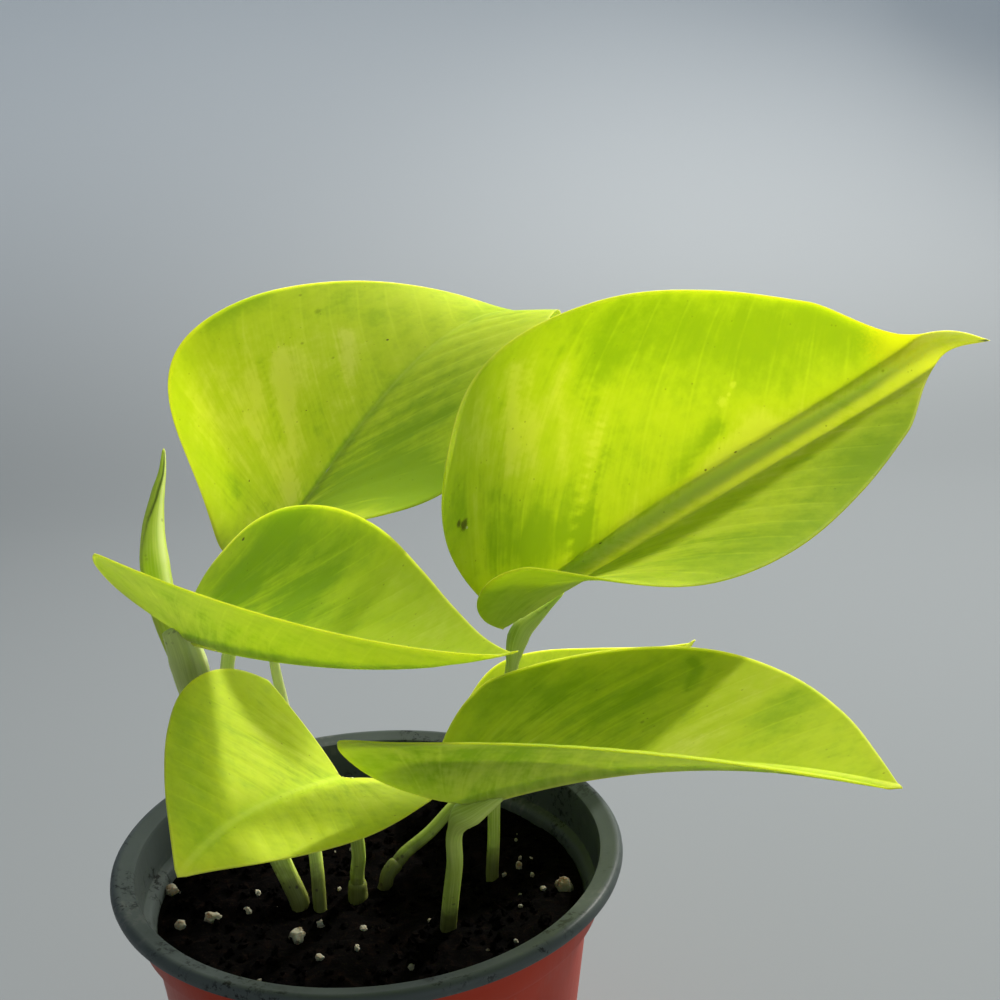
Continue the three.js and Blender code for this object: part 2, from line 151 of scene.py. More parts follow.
def deselect():
    if bpy.context.object and bpy.context.object.mode != "OBJECT":
        bpy.ops.object.mode_set(mode="OBJECT")
    bpy.ops.object.select_all(action="DESELECT")


def named(name):                                       # the primitive just added
    piece = bpy.context.object
    piece.name = name
    piece.data.name = name
    return piece


def selectAlone(piece):
    deselect()
    bpy.context.view_layer.objects.active = piece
    piece.select_set(True)


def editWhole(piece):                                  # edit mode with every vertex selected
    selectAlone(piece)
    bpy.ops.object.mode_set(mode="EDIT")
    bpy.ops.mesh.select_mode(type="VERT")
    bpy.ops.mesh.select_all(action="SELECT")


def editEdges(piece, wanted):                          # edit mode with only the wanted edges selected
    selectAlone(piece)
    bpy.ops.object.mode_set(mode="EDIT")
    bpy.ops.mesh.select_mode(type="EDGE")
    bpy.ops.mesh.select_all(action="DESELECT")
    shape = bmesh.from_edit_mesh(piece.data)
    for edge in shape.edges:
        edge.select_set(wanted(edge))
    bmesh.update_edit_mesh(piece.data)


def leaveEditing():
    bpy.ops.object.mode_set(mode="OBJECT")


def settle(piece):                                     # origin to the frame's origin, unturned and unscaled
    selectAlone(piece)
    bpy.ops.object.transform_apply(location=True, rotation=True, scale=True)


def applyAll(piece):
    selectAlone(piece)
    for modifier in list(piece.modifiers):
        bpy.ops.object.modifier_apply(modifier=modifier.name)


def mergeDoubles(piece):
    editWhole(piece)
    bpy.ops.mesh.remove_doubles(threshold=0.002 * mm)
    leaveEditing()


def turnFacesOut(piece):
    editWhole(piece)
    bpy.ops.mesh.normals_make_consistent(inside=False)
    leaveEditing()


def smooth(piece, angle=None):                         # edges that turn by more degrees stay sharp
    selectAlone(piece)
    if angle is None:
        bpy.ops.object.shade_smooth()
    else:
        bpy.ops.object.shade_smooth_by_angle(angle=math.radians(angle))


def places(piece):
    flat = np.empty(len(piece.data.vertices) * 3)
    piece.data.vertices.foreach_get("co", flat)
    return flat.reshape(-1, 3)


def setPlaces(piece, points):
    piece.data.vertices.foreach_set("co", np.asarray(points, dtype=float).ravel())
    piece.data.update()


def setAttribute(piece, name, values):
    values = np.asarray(values, dtype=float)
    kind = "FLOAT_VECTOR" if values.ndim == 2 else "FLOAT"
    layer = piece.data.attributes.new(name, kind, "POINT")
    layer.data.foreach_set("vector" if values.ndim == 2 else "value", values.ravel())


def finished(piece, materials, replaced=()):     # what every piece of the plant gets at its end
    piece.data.materials.clear()
    for material in materials:
        piece.data.materials.append(material)
    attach(piece, "root")
    if replaced:
        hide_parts(*replaced)


# Camera, with its angles in degrees

view = {
    "place": (0, -249.317 * mm, 230.468 * mm),
    "pan": 6.485,
    "tilt": 16.808,
    "roll": -1.828,
    "focal": 1.4,                                      # focal length in widths of the picture
    "sensor": 36,
    "nearest": 10 * mm,                                # what lies nearer isn't drawn
}


def addCamera():
    pan, tilt, roll = (math.radians(view[key]) for key in ("pan", "tilt", "roll"))
    ahead = Vector((math.sin(pan) * math.cos(tilt), math.cos(pan) * math.cos(tilt), -math.sin(tilt)))
    level = Vector((math.cos(pan), -math.sin(pan), 0))
    above = level.cross(ahead)
    right = level * math.cos(roll) + above * math.sin(roll)
    up = above * math.cos(roll) - level * math.sin(roll)
    bpy.ops.object.camera_add()
    camera = bpy.context.object
    turn = Matrix((right, up, -ahead)).transposed().to_4x4()
    camera.matrix_world = Matrix.Translation(view["place"]) @ turn
    camera.data.sensor_width = view["sensor"]
    camera.data.lens = view["focal"] * view["sensor"]
    camera.data.clip_start = view["nearest"]
    bpy.context.scene.camera = camera


addCamera()

# Stage: a pale sweep that runs up behind the plant, and soft light

stage = {                                              # in metres
    "width": 6.0,
    "front": -3.0,
    "back": 1.6,
    "height": 3.4,
    "bend": 1.1,                                       # radius of the sweep between floor and wall
    "bendSteps": 24,
    # near and far: painted shade near the plant, where the key light falls strongest, and painted light on
    # the wall far off, so the stage looks evenly lit
    "near": (0.235, 0.252, 0.262),
    "far": (0.90, 0.94, 0.97),
    "fade": (0.50, 1.36),                              # from where to where the tone turns, along Y
}
lights = {                                             # metres, degrees and watts
    "keyLight": {                                      # from behind on the right, through the leaves
        "place": (1.10, 0.85, 1.52), "size": 0.17, "spread": 90, "energy": 8, "tone": (1.0, 0.97, 0.90),
    },
    "backLight": {                                     # the bright room behind the leaves
        "place": (0.62, 1.15, 0.68), "size": 0.7, "spread": 64, "energy": 4.2, "tone": (1.0, 0.98, 0.93),
        "glossy": False,
    },
    "fillLight": {                                     # low and broad, from the right of the camera
        "place": (0.75, -0.95, 0.16), "size": 1.0, "spread": 110, "energy": 1.1, "tone": (0.92, 0.96, 1.0),
    },
}
aim = Vector((10 * mm, 0, 120 * mm))                   # what the lights point at
room = {"tone": (0.80, 0.90, 1.0), "strength": 0.34}   # the light from all sides


def addStage():
    deselect()
    bpy.ops.mesh.primitive_plane_add(size=1)
    floor = named("floor")
    floor.scale = (stage["width"], stage["back"] - stage["front"], 1)
    floor.location = (0, (stage["back"] + stage["front"]) / 2, 0)
    settle(floor)
    close = 10 * mm                                    # near enough to the back edge or the floor
    atBack = lambda edge: all(vert.co.y > stage["back"] - close for vert in edge.verts)
    editEdges(floor, atBack)
    bpy.ops.mesh.extrude_region_move(TRANSFORM_OT_translate={"value": (0, 0, stage["height"])})
    editEdges(floor, lambda edge: atBack(edge) and all(vert.co.z < close for vert in edge.verts))
    bpy.ops.mesh.bevel(offset=stage["bend"], segments=stage["bendSteps"], affect="EDGES")
    leaveEditing()
    smooth(floor)
    finish = Finish("stagePaint")
    # painted shade and painted light: darker near the plant, paler towards the wall
    away = finish.objectPlace().part("Y").step(*stage["fade"])
    tone = finish.blend(away, stage["near"], stage["far"])
    floor.data.materials.append(finish.surface(Base_Color=tone, Roughness=0.95))


def addLights():
    for name, light in lights.items():
        bpy.ops.object.light_add(type="AREA", location=light["place"])
        lamp = bpy.context.object
        lamp.name = name
        lamp.data.size = light["size"]
        lamp.data.energy = light["energy"]
        lamp.data.spread = math.radians(light["spread"])
        lamp.data.color = light["tone"]
        lamp.visible_camera = False
        lamp.visible_glossy = light.get("glossy", True)
        lamp.rotation_euler = (aim - lamp.location).to_track_quat("-Z", "Y").to_euler()
    world = bpy.data.worlds.new("studio")
    bpy.context.scene.world = world
    world.use_nodes = True
    background = world.node_tree.nodes["Background"]
    background.inputs["Color"].default_value = (*room["tone"], 1)
    background.inputs["Strength"].default_value = room["strength"]
    bpy.context.scene.view_settings.view_transform = "Standard"


addStage()
addLights()
print("camera, stage and lights")

# Potting soil, which also soils the pot's grey lip

soil = {
    "radius": 42.35 * mm,
    "skirt": 12 * mm,                                  # how far down the bed's edge follows the wall
    "skirtRadius": 41.05 * mm,
    "floorRadius": 33.2 * mm,
    "floor": 1.6 * mm,
    "cells": 150,                                      # of the bed's grid, each way
    "crumbs": 620,
    "crumbShapes": 6,
    "crumbSizes": (0.35 * mm, 1.25 * mm),
    "crumbMargin": 1.6 * mm,                           # how far loose crumbs stay from the bed's edge
    "grains": 16,                                      # perlite beyond the grains seen
    "grainSizes": (0.25 * mm, 0.6 * mm),               # radii of those
    "grainMargin": 3 * mm,
    "seed": 20417,
    "dark": (0.0010, 0.0006, 0.0005),
    "brown": (0.0050, 0.0026, 0.0017),
    "fleck": (0.024, 0.014, 0.009),
    "perlite": (0.44, 0.41, 0.30),
    "dirt": (0.085, 0.066, 0.028),
}

# Pot: one formed sheet, red outside and grey from the lip inwards

pot = {
    "rim": 50.3 * mm,                                  # radius of the lip
    "base": 34 * mm,
    "wallTop": 43.6 * mm,                              # radius of the wall under the collar
    "collar": 46.2 * mm,
    "collarFoot": 75 * mm,
    "sheet": 0.9 * mm,
    "floor": 1.2 * mm,
    "segments": 160,
    "drainHoles": 6,
    "drainSides": 32,
    "drainRadius": 3.25 * mm,
    "drainCircle": 21 * mm,
    "red": {"tone": (0.42, 0.030, 0.006), "worn": 0.12, "soiled": 0},
    "grey": {"tone": (0.060, 0.072, 0.066), "worn": 0.25, "soiled": 0.85},
    "dust": (0.30, 0.27, 0.24),
}


def potRings():                                        # radius and height of each ring, from the base round
    rim, collar, foot, wall = pot["rim"], pot["collar"], pot["collarFoot"], pot["wallTop"]
    outside = [
        (pot["base"] - 6 * mm, 0), (pot["base"] - 0.8 * mm, 0), (pot["base"] + 0.1 * mm, 0.15 * mm),
        (pot["base"] + 0.8 * mm, 0.8 * mm), (pot["base"] + 1.1 * mm, 2 * mm),
        (wall - 0.15 * mm, foot - 2 * mm), (wall, foot - 1.0 * mm), (wall + 0.3 * mm, foot - 0.4 * mm),
        (collar - 0.9 * mm, foot - 0.1 * mm), (collar - 0.4 * mm, foot + 0.2 * mm),
        (collar - 0.2 * mm, foot + 0.8 * mm), (collar + 0.1 * mm, foot + 4 * mm),
        (collar + 0.45 * mm, rimTop - 2.4 * mm), (collar + 0.8 * mm, rimTop - 1.9 * mm),
    ]
    lip = [
        (rim - 1.5 * mm, rimTop - 1.7 * mm), (rim - 1.2 * mm, rimTop - 1.9 * mm),
        (rim - 1.0 * mm, rimTop - 2.3 * mm), (rim - 0.6 * mm, rimTop - 2.45 * mm),
        (rim - 0.2 * mm, rimTop - 2.2 * mm), (rim, rimTop - 1.5 * mm), (rim - 0.1 * mm, rimTop - 0.8 * mm),
        (rim - 0.5 * mm, rimTop - 0.25 * mm), (rim - 1.1 * mm, rimTop), (rim - 1.8 * mm, rimTop - 0.1 * mm),
        (rim - 2.6 * mm, rimTop - 0.45 * mm), (rim - 3.7 * mm, rimTop - 0.6 * mm),
        (rim - 4.4 * mm, rimTop - 0.85 * mm), (rim - 4.8 * mm, rimTop - 1.6 * mm),
    ]
    inside = [
        (collar - 1.0 * mm, foot + 2.2 * mm), (collar - 1.3 * mm, foot + 1.2 * mm),
        (wall + 0.3 * mm, foot + 0.8 * mm), (wall - 0.3 * mm, foot + 0.5 * mm),
        (wall - pot["sheet"], foot - 0.6 * mm), (pot["base"] + 0.1 * mm, pot["floor"] + 0.7 * mm),
        (pot["base"] - 0.6 * mm, pot["floor"]),
    ]
    return outside + lip + inside


def ringsUp(name, rings, segments):                    # a circle drawn out ring by ring
    deselect()
    bpy.ops.mesh.primitive_circle_add(vertices=segments, radius=rings[0][0], location=(0, 0, rings[0][1]))
    piece = named(name)
    settle(piece)
    editWhole(piece)
    for (radius, height), (nextRadius, nextHeight) in zip(rings, rings[1:]):
        rise = (0, 0, nextHeight - height)
        bpy.ops.mesh.extrude_region_move(TRANSFORM_OT_translate={"value": rise})
        share = nextRadius / radius
        bpy.ops.transform.resize(value=(share, share, 1), center_override=(0, 0, nextHeight))
    leaveEditing()
    return piece


def closeLoop(piece, height):                          # a flat face across the open ring at a height
    editEdges(piece, lambda edge: edge.is_boundary and abs(edge.verts[0].co.z - height) < 0.01 * mm)
    bpy.ops.mesh.edge_face_add()
    leaveEditing()


def plasticFinish(name, plastic):                      # moulded plastic with dust, scuffs and soil on it
    finish = Finish(name)
    place = finish.objectPlace()
    cloud = finish.noise(place, 60, 3).step(0.35, 0.7)
    streak = finish.noise(finish.scaled(place, (1, 1, 0.12)), 900, 2)
    dust = finish.noise(place, 1400, 4, 0.7).step(0.62, 0.80) * finish.noise(place, 35, 2).step(0.45, 0.7)
    scuff = finish.noise(finish.scaled(place, (1, 1, 3)), 45, 2).step(0.60, 0.66) * streak.step(0.45, 0.65)
    dirt = finish.noise(place, 700, 4, 0.75).step(0.52, 0.60) * finish.noise(place, 90, 2).step(0.46, 0.60)
    colour = finish.blend(cloud * 0.5, plastic["tone"], [1.25 * c for c in plastic["tone"]])
    colour = finish.blend((dust + scuff * 0.5) * plastic["worn"], colour, pot["dust"])
    colour = finish.blend(dirt * plastic["soiled"], colour, soil["dark"])
    rough = 0.36 + 0.14 * streak + 0.25 * dust
    bump = finish.bump(finish.noise(place, 1800, 2) * 0.6 + streak * 0.4, 0.02 * mm, 0.6)
    return finish.surface(Base_Color=colour, Roughness=rough, Normal=bump, Specular_IOR_Level=0.22)


def drainPlugs():                                      # one cylinder through the floor for each drain hole
    plugs = []
    away = pot["drainCircle"]
    for number in range(pot["drainHoles"]):
        turn = 2 * math.pi * (number + 0.5) / pot["drainHoles"]
        bpy.ops.mesh.primitive_cylinder_add(
            vertices=pot["drainSides"], radius=pot["drainRadius"], depth=5 * pot["floor"],
            location=(away * math.cos(turn), away * math.sin(turn), 0))
        plugs.append(bpy.context.object)
    return plugs


def isGrey(face):                                      # from under the lip over the rim and inwards
    middle = face.center
    onLip = math.hypot(middle.x, middle.y) > pot["collar"] + 0.9 * mm
    facesIn = face.normal.x * middle.x + face.normal.y * middle.y < 0
    return onLip or middle.z > rimTop - mm or (facesIn and middle.z > pot["floor"])


def makePot():
    piece = ringsUp("pot", potRings(), pot["segments"])
    closeLoop(piece, 0)
    closeLoop(piece, pot["floor"])
    turnFacesOut(piece)
    holes = drainPlugs()
    for hole in holes:
        cut = piece.modifiers.new("drain", "BOOLEAN")
        cut.object = hole
        cut.operation = "DIFFERENCE"
    applyAll(piece)
    for hole in holes:
        bpy.data.objects.remove(hole)
    smooth(piece, 38)
    skins = [plasticFinish("potRed", pot["red"]), plasticFinish("potGrey", pot["grey"])]
    finished(piece, skins, ["pot"])
    for face in piece.data.polygons:
        face.material_index = 1 if isGrey(face) else 0


makePot()
print("pot")

# Soil: a crumbly bed, loose crumbs and perlite

# Perlite where it is seen: place on the soil in millimetres, and radius
seenGrains = [
    (-40.6, 7.6, 1.4), (-37.8, -4.9, 1.2), (-31.5, -3.9, 1.75), (-24.7, -3.3, 1.0), (-23.0, 3.2, 0.8),
    (-14.9, -13.5, 1.5), (-10.4, -10.6, 0.95), (-2.3, -12.6, 0.75), (-3.6, -19.3, 0.75), (-10.6, -21.9, 0.9),
    (6.1, -25.9, 0.75), (26.4, -20.5, 0.55), (38.2, -5.5, 2.0), (33.9, -5.1, 0.7), (32.5, 0, 0.6),
    (29.2, -5.8, 0.4), (30.3, 3.8, 0.9), (26.9, 1.3, 0.7), (31.1, 14.5, 0.45), (31.5, 17.8, 0.35),
    (-6.7, 2.3, 0.6),
]


def crumble(x, y):                                     # height of the bed above the soil line
    here = Vector((x, y, 0))
    broad = noise.noise(here * 70) * 0.9
    lumps = noise.noise(here * 260 + Vector((3, 1, 7))) * 0.75
    fine = noise.noise(here * 800 + Vector((9, 4, 2))) * 0.35
    pits = min(0.0, noise.noise(here * 180 + Vector((5, 8, 1))) + 0.1) * 1.2
    return (broad + lumps + fine + pits) * mm


def soilFinish():
    finish = Finish("pottingSoil")
    place = finish.objectPlace()
    clump = finish.noise(place, 420, 4, 0.65)
    spot = finish.cells(place, 900).step(0.20, 0.05)
    colour = finish.blend(clump.step(0.48, 0.72), soil["dark"], soil["brown"])
    colour = finish.blend(spot * 0.35, colour, soil["fleck"])
    bump = finish.bump(finish.noise(place, 1500, 5, 0.7) + clump, 0.45 * mm, 1.0)
    rough = 0.82 + 0.15 * clump
    return finish.surface(Base_Color=colour, Roughness=rough, Normal=bump, Specular_IOR_Level=0.04)


def perliteFinish():
    finish = Finish("perlite")
    place = finish.objectPlace()
    dirt = finish.noise(place, 500, 4, 0.7).step(0.46, 0.62)
    pore = finish.cells(place, 2600).step(0.0, 0.35)
    colour = finish.blend((dirt * 0.9).most(pore.step(0.5, 0.9) * 0.4), soil["perlite"], soil["dirt"])
    bump = finish.bump(pore, 0.12 * mm, 0.8)
    return finish.surface(Base_Color=colour, Roughness=0.9, Normal=bump, Subsurface_Weight=0.1)


soilSkin = soilFinish()


def makeBed():
    deselect()
    cells = soil["cells"]
    bpy.ops.mesh.primitive_grid_add(x_subdivisions=cells, y_subdivisions=cells, size=2)
    piece = named("soil")
    flat = places(piece)
    x, y = flat[:, 0], flat[:, 1]
    disc = np.stack([x * np.sqrt(1 - y * y / 2), y * np.sqrt(1 - x * x / 2)], -1) * soil["radius"]
    heights = np.array([crumble(px, py) for px, py in disc])
    edge = np.hypot(disc[:, 0], disc[:, 1]) / soil["radius"]
    heights *= 1 - 0.5 * (edge > 0.985)                # flatter along the wall
    heights -= 0.6 * mm * np.clip((edge - 0.93) / 0.07, 0, 1)
    setPlaces(piece, np.column_stack([disc, soilTop + heights]))
    editEdges(piece, lambda edge: edge.is_boundary)
    bpy.ops.mesh.extrude_region_move(TRANSFORM_OT_translate={"value": (0, 0, -soil["skirt"])})
    share = soil["skirtRadius"] / soil["radius"]
    bpy.ops.transform.resize(value=(share, share, 1), center_override=(0, 0, soilTop))
    bpy.ops.mesh.extrude_region_move()
    share = soil["floorRadius"] / soil["skirtRadius"]
    bpy.ops.transform.resize(value=(share, share, 0), center_override=(0, 0, soil["floor"]))
    bpy.ops.mesh.edge_face_add()
    turnFacesOut(piece)
    smooth(piece, 60)
    finished(piece, [soilSkin], ["soil"])


def anyTurn(draw):                                     # three random angles, each up to about a whole turn
    return [draw.uniform(0, 6.3) for axis in range(3)]


def placeOnBed(draw, margin):
    turn = draw.uniform(0, 2 * math.pi)
    away = (soil["radius"] - margin) * math.sqrt(draw.random())
    return away * math.cos(turn), away * math.sin(turn)


def lump(draw, radius, detail, rough):                 # one irregular grain at the origin
    bpy.ops.mesh.primitive_ico_sphere_add(subdivisions=detail, radius=1)
    grain = bpy.context.object
    shift = Vector((draw.random(), draw.random(), draw.random())) * 50
    stretch = Vector((draw.uniform(0.75, 1.2), draw.uniform(0.75, 1.2), draw.uniform(0.6, 0.95)))
    for vert in grain.data.vertices:
        broad = noise.noise(vert.co * 1.7 + shift)
        fine = noise.noise(vert.co * 4 + shift)
        push = 1 + rough * broad + 0.4 * rough * fine
        vert.co = Vector(c * s for c, s in zip(vert.co * push * radius, stretch))
    grain.rotation_euler = anyTurn(draw)
    return grain


def joined(parts, name):
    deselect()
    for part in parts:
        part.select_set(True)
    bpy.context.view_layer.objects.active = parts[0]
    bpy.ops.object.join()
    piece = named(name)
    settle(piece)
    return piece


def makeCrumbs():                                      # copies of a few crumbs, strewn over the bed
    draw = random.Random(soil["seed"])
    deselect()
    shapes = [lump(draw, radius=1, detail=2, rough=0.9) for number in range(soil["crumbShapes"])]
    crumbs = []
    for number in range(soil["crumbs"]):
        x, y = placeOnBed(draw, soil["crumbMargin"])
        source = shapes[number % len(shapes)]
        crumb = source.copy()
        crumb.data = source.data.copy()
        bpy.context.collection.objects.link(crumb)
        size = draw.uniform(*soil["crumbSizes"])
        crumb.scale = (size, size * draw.uniform(0.7, 1.1), size * draw.uniform(0.6, 1.0))
        crumb.rotation_euler = anyTurn(draw)
        crumb.location = (x, y, soilTop + crumble(x, y) + 0.2 * size)
        crumbs.append(crumb)
    for source in shapes:
        bpy.data.objects.remove(source)
    piece = joined(crumbs, "soilCrumbs")
    smooth(piece, 50)
    finished(piece, [soilSkin])


def makePerlite():
    draw = random.Random(soil["seed"] + 1)
    deselect()
    grains = []
    spots = [(x * mm, y * mm, radius * mm) for x, y, radius in seenGrains]
    for number in range(soil["grains"]):
        x, y = placeOnBed(draw, soil["grainMargin"])
        spots.append((x, y, draw.uniform(*soil["grainSizes"])))
    for x, y, radius in spots:
        grain = lump(draw, radius=0.92 * radius, detail=3, rough=0.42)
        grain.location = (x, y, soilTop + crumble(x, y) + 0.25 * radius)
        grains.append(grain)
    piece = joined(grains, "perlite")
    smooth(piece, 40)
    finished(piece, [perliteFinish()])


makeBed()
makeCrumbs()
makePerlite()
print("soil, crumbs and perlite")


# Smooth paths and tubes for stems and stalks

def eased(values, low, high):                          # 0 below low, 1 above high, smooth between
    share = np.clip((values - low) / (high - low), 0, 1)
    return share * share * (3 - 2 * share)


def splinePoints(points, count):                       # centripetal curve through the points, evenly spaced
    between = 24                                       # steps from one point to the next
    points = [Vector(point) for point in points]
    ends = [points[0] * 2 - points[1], *points, points[-1] * 2 - points[-2]]
    walked = []
    for p0, p1, p2, p3 in zip(ends, ends[1:], ends[2:], ends[3:]):
        t1 = math.sqrt((p1 - p0).length)
        t2 = t1 + math.sqrt((p2 - p1).length)
        t3 = t2 + math.sqrt((p3 - p2).length)
        for step in range(between):
            t = t1 + (t2 - t1) * step / between
            a1 = p0 * ((t1 - t) / t1) + p1 * (t / t1)
            a2 = p1 * ((t2 - t) / (t2 - t1)) + p2 * ((t - t1) / (t2 - t1))
            a3 = p2 * ((t3 - t) / (t3 - t2)) + p3 * ((t - t2) / (t3 - t2))
            b1 = a1 * ((t2 - t) / t2) + a2 * (t / t2)
            b2 = a2 * ((t3 - t) / (t3 - t1)) + a3 * ((t - t1) / (t3 - t1))
            walked.append(b1 * ((t2 - t) / (t2 - t1)) + b2 * ((t - t1) / (t2 - t1)))
    walked = np.array([*walked, points[-1]])
    run = np.concatenate([[0], np.cumsum(np.linalg.norm(np.diff(walked, axis=0), axis=1))])
    even = np.linspace(0, run[-1], count)
    return np.stack([np.interp(even, run, walked[:, axis]) for axis in range(3)], -1), run[-1]


def carriedAxes(centres, first):                       # across the path and over it, without twisting
    ahead = np.gradient(centres, axis=0)
    ahead /= np.linalg.norm(ahead, axis=1)[:, None]
    across = []
    side = np.array(first, dtype=float)
    for way in ahead:
        side = side - way * side.dot(way)
        side = side / np.linalg.norm(side)
        across.append(side)
    across = np.array(across)
    return across, np.cross(ahead, across)


# Along a path: section is a factor on the radius round the tube, ends how long its round ends are,
# ending the radii where a stalk runs on under its blade, and tints its paler streaks, some of which
# are painted light, and its painted shade
def tube(name, points, radii, steps, section, sides=24, ends=0.6 * mm, ending=(), tints=()):
    deselect()
    bpy.ops.mesh.primitive_cylinder_add(vertices=sides, radius=1, depth=1, end_fill_type="TRIFAN")
    piece = named(name)
    editEdges(piece, lambda edge: abs(edge.verts[0].co.z - edge.verts[1].co.z) > 0.5)
    bpy.ops.mesh.subdivide(number_cuts=steps - 1)
    leaveEditing()
    straight = places(piece)
    way = straight[:, 2] + 0.5
    turn = np.arctan2(straight[:, 1], straight[:, 0])
    reach = np.hypot(straight[:, 0], straight[:, 1])
    centres, length = splinePoints(points, steps + 1)
    across, over = carriedAxes(centres, (0, -1, 0))
    ring = np.clip(np.round(way * steps).astype(int), 0, steps)
    radius = np.interp(way, np.linspace(0, 1, len(radii)), radii)
    if ending:
        left = (1 - way) * length
        radius = np.where(left < ending[-1][0], np.interp(left, *zip(*ending)), radius)
    near = np.minimum(way, 1 - way) * length
    radius = radius * np.sqrt(np.clip(1 - (1 - np.clip(near / ends, 0, 1)) ** 2, 0.02, 1))
    radius = radius * section(turn, way)
    out = across[ring] * np.cos(turn)[:, None] + over[ring] * np.sin(turn)[:, None]
    setPlaces(piece, centres[ring] + out * (reach * radius)[:, None])
    grain = np.stack([np.cos(turn) * 0.6, np.sin(turn) * 0.6, way * length / (6 * mm)], -1)
    setAttribute(piece, "grain", grain)                # round the tube, and along it in steps of 6 mm
    for tint in ("pale", "shady"):
        setAttribute(piece, tint, tints[tint](turn, way) if tint in tints else 0 * way)
    smooth(piece)
    return piece


def band(turn, middle, halfWidth):                     # 1 at one side of a stalk, 0 elsewhere
    away = (turn - middle + math.pi) % (2 * math.pi) - math.pi
    return np.exp(-(away / halfWidth) ** 2)


def channelled(depth):                                 # a shallow groove along one side of a stalk
    return lambda turn, way: 1 - depth * band(turn, 0, 0.45) + 0.3 * depth * np.cos(2 * turn)


def sheathed(turn, way):                               # wide and flat, with a rolled edge down one side
    oval = 1 / np.sqrt((np.cos(turn) / 0.62) ** 2 + np.sin(turn) ** 2)
    return oval * (1 + 0.22 * band(turn, 0.95, 0.28) - 0.20 * band(turn, 0.45, 0.2))


stalkTones = {
    "pale": (0.62, 0.74, 0.16),
    "green": (0.40, 0.53, 0.06),
    # the tone of the pale tint: the stalks' own pale streaks, and painted light
    "bright": (0.88, 0.95, 0.40),
    # the tone of painted shade, for stalks that stand in shadow and the rolled leaf's groove
    "shady": (0.13, 0.19, 0.018),
    "scar": (0.035, 0.022, 0.010),
    "earthy": (0.050, 0.036, 0.016),
    "earthFoot": (78 * mm, 91 * mm),                   # heights between which the stalks are soiled
}


def stalkFinish(name, light, dark):
    finish = Finish(name)
    grain = finish.attribute("grain")
    place = finish.objectPlace()
    streak = finish.noise(finish.scaled(grain, (14, 14, 0.5)), 1, 3)
    cloud = finish.noise(place, 90, 3)
    colour = finish.blend((streak * 0.7 + cloud * 0.5 - 0.1).step(0.30, 0.75), dark, light)
    # the pale tint: the stalks' own pale streaks, and painted light on some stalks
    colour = finish.blend(finish.attribute("pale", 2) * (0.7 + 0.3 * streak), colour, stalkTones["bright"])
    # painted shade: darker where a stalk stands in shadow, and in the rolled leaf's groove
    colour = finish.blend(finish.attribute("shady", 2) * 0.8, colour, stalkTones["shady"])
    low, high = stalkTones["earthFoot"]
    foot = 1 - (place.part("Z") + finish.noise(place, 200, 2) * (6 * mm)).step(low, high)
    specked = (finish.noise(place, 130, 2) + foot * 0.2).step(0.50, 0.62)
    speck = finish.cells(place, 520).step(0.24, 0.10) * specked
    crust = (foot * 0.75 + finish.noise(place, 420, 4, 0.7) * 0.7 - 0.3).step(0.25, 0.65) * foot
    colour = finish.blend(speck * (0.35 + 0.5 * foot), colour, stalkTones["scar"])
    colour = finish.blend(crust * 0.8, colour, stalkTones["earthy"])
    bump = finish.bump(streak * 0.8 + speck * 0.6 + crust * 0.5, 0.10 * mm, 0.5)
    return finish.surface(
        Base_Color=colour, Roughness=0.42 + 0.2 * cloud, Normal=bump, Specular_IOR_Level=0.3,
        Subsurface_Weight=0.5, Subsurface_Radius=(1.0, 1.1, 0.25), Subsurface_Scale=1.5 * mm)


stalkSkin = stalkFinish("stalkSkin", stalkTones["pale"], stalkTones["green"])

# Stems: where each leaves the soil, the points it passes, and its radii, in millimetres

stems = {
    "stem_left": {
        "soil": (-14.6, -2.4, 74),
        "reach": [(-17.6, 0.6, 82), (-20.6, 3.6, 89)],
        "radii": [2.0, 2.0, 2.2],
    },
    "stem_middle": {"soil": (-3, -0.6, 74), "reach": [(-2.9, -1.0, 78)], "radii": [1.9, 2.1, 1.8]},
    "stem_slanted": {
        "soil": (2.4, 1.2, 74),
        "lean": (0.3, -0.2, 0.93),
        "reach": [(3.3, 1.5, 76.8), (5.8, 2.9, 79)],
        "radii": [1.4, 1.4, 1.7],
        # painted shadow: the whole stem darker, as it stands in shade
        "tints": {"shady": lambda turn, way: 0.7 + 0 * way},
    },
    "stalk_bare": {
        "soil": (-10.6, -3.4, 74),
        "lean": (0, 0.1, 1),
        "reach": [(-10.8, -1, 84), (-12.6, 6.5, 95), (-16, 16, 112), (-17, 19, 118), (-17, 22, 124)],
        "radii": [1.4, 1.35, 1.3, 1.15, 0.9],
        # pale: painted light up the stalk, less of it down one side
        "tints": {"pale": lambda turn, way: eased(way, 0.3, 0.6) * (1 - 0.7 * band(turn, -1.5, 0.6))},
    },
}
buried = 6                                             # how far a stem is drawn below the soil line


def soilStart(stem):                                   # the points of a foot that stands in the soil
    foot = Vector(stem["soil"])
    lean = Vector(stem.get("lean", (0, 0, 1))).normalized()
    return [foot - lean * buried, foot - lean * buried / 2, foot, foot + lean]


def inMetres(points):
    return [Vector(point) * mm for point in points]


def camel(node):
    first, *rest = node.split("_")
    return first + "".join(word.capitalize() for word in rest)


def makeStems():
    for node, stem in stems.items():
        points = inMetres([*soilStart(stem), *stem["reach"]])
        radii = [radius * mm for radius in stem["radii"]]
        piece = tube(camel(node), points, radii, steps=40, section=channelled(0.06),
                     ends=1.6 * mm, tints=stem.get("tints", ()))
        finished(piece, [stalkSkin], [node])


makeStems()
print("stems")

# Leaves. base is the sinus, where the stalk meets the blade, in millimetres. heading, pitch and roll
# turn the blade there; bend, curl, sway and twist are how much they change by the tip, and hook turns
# the tip alone. Each half has a width, the angle it folds up by at the midrib, how it curves on
# outwards, how it cups round the stalk, and how far its lobe reaches back. narrow slims the tip and
# soften rounds the valley of the midrib out. on, soil, lean, reach, top and radii are the stalk's.

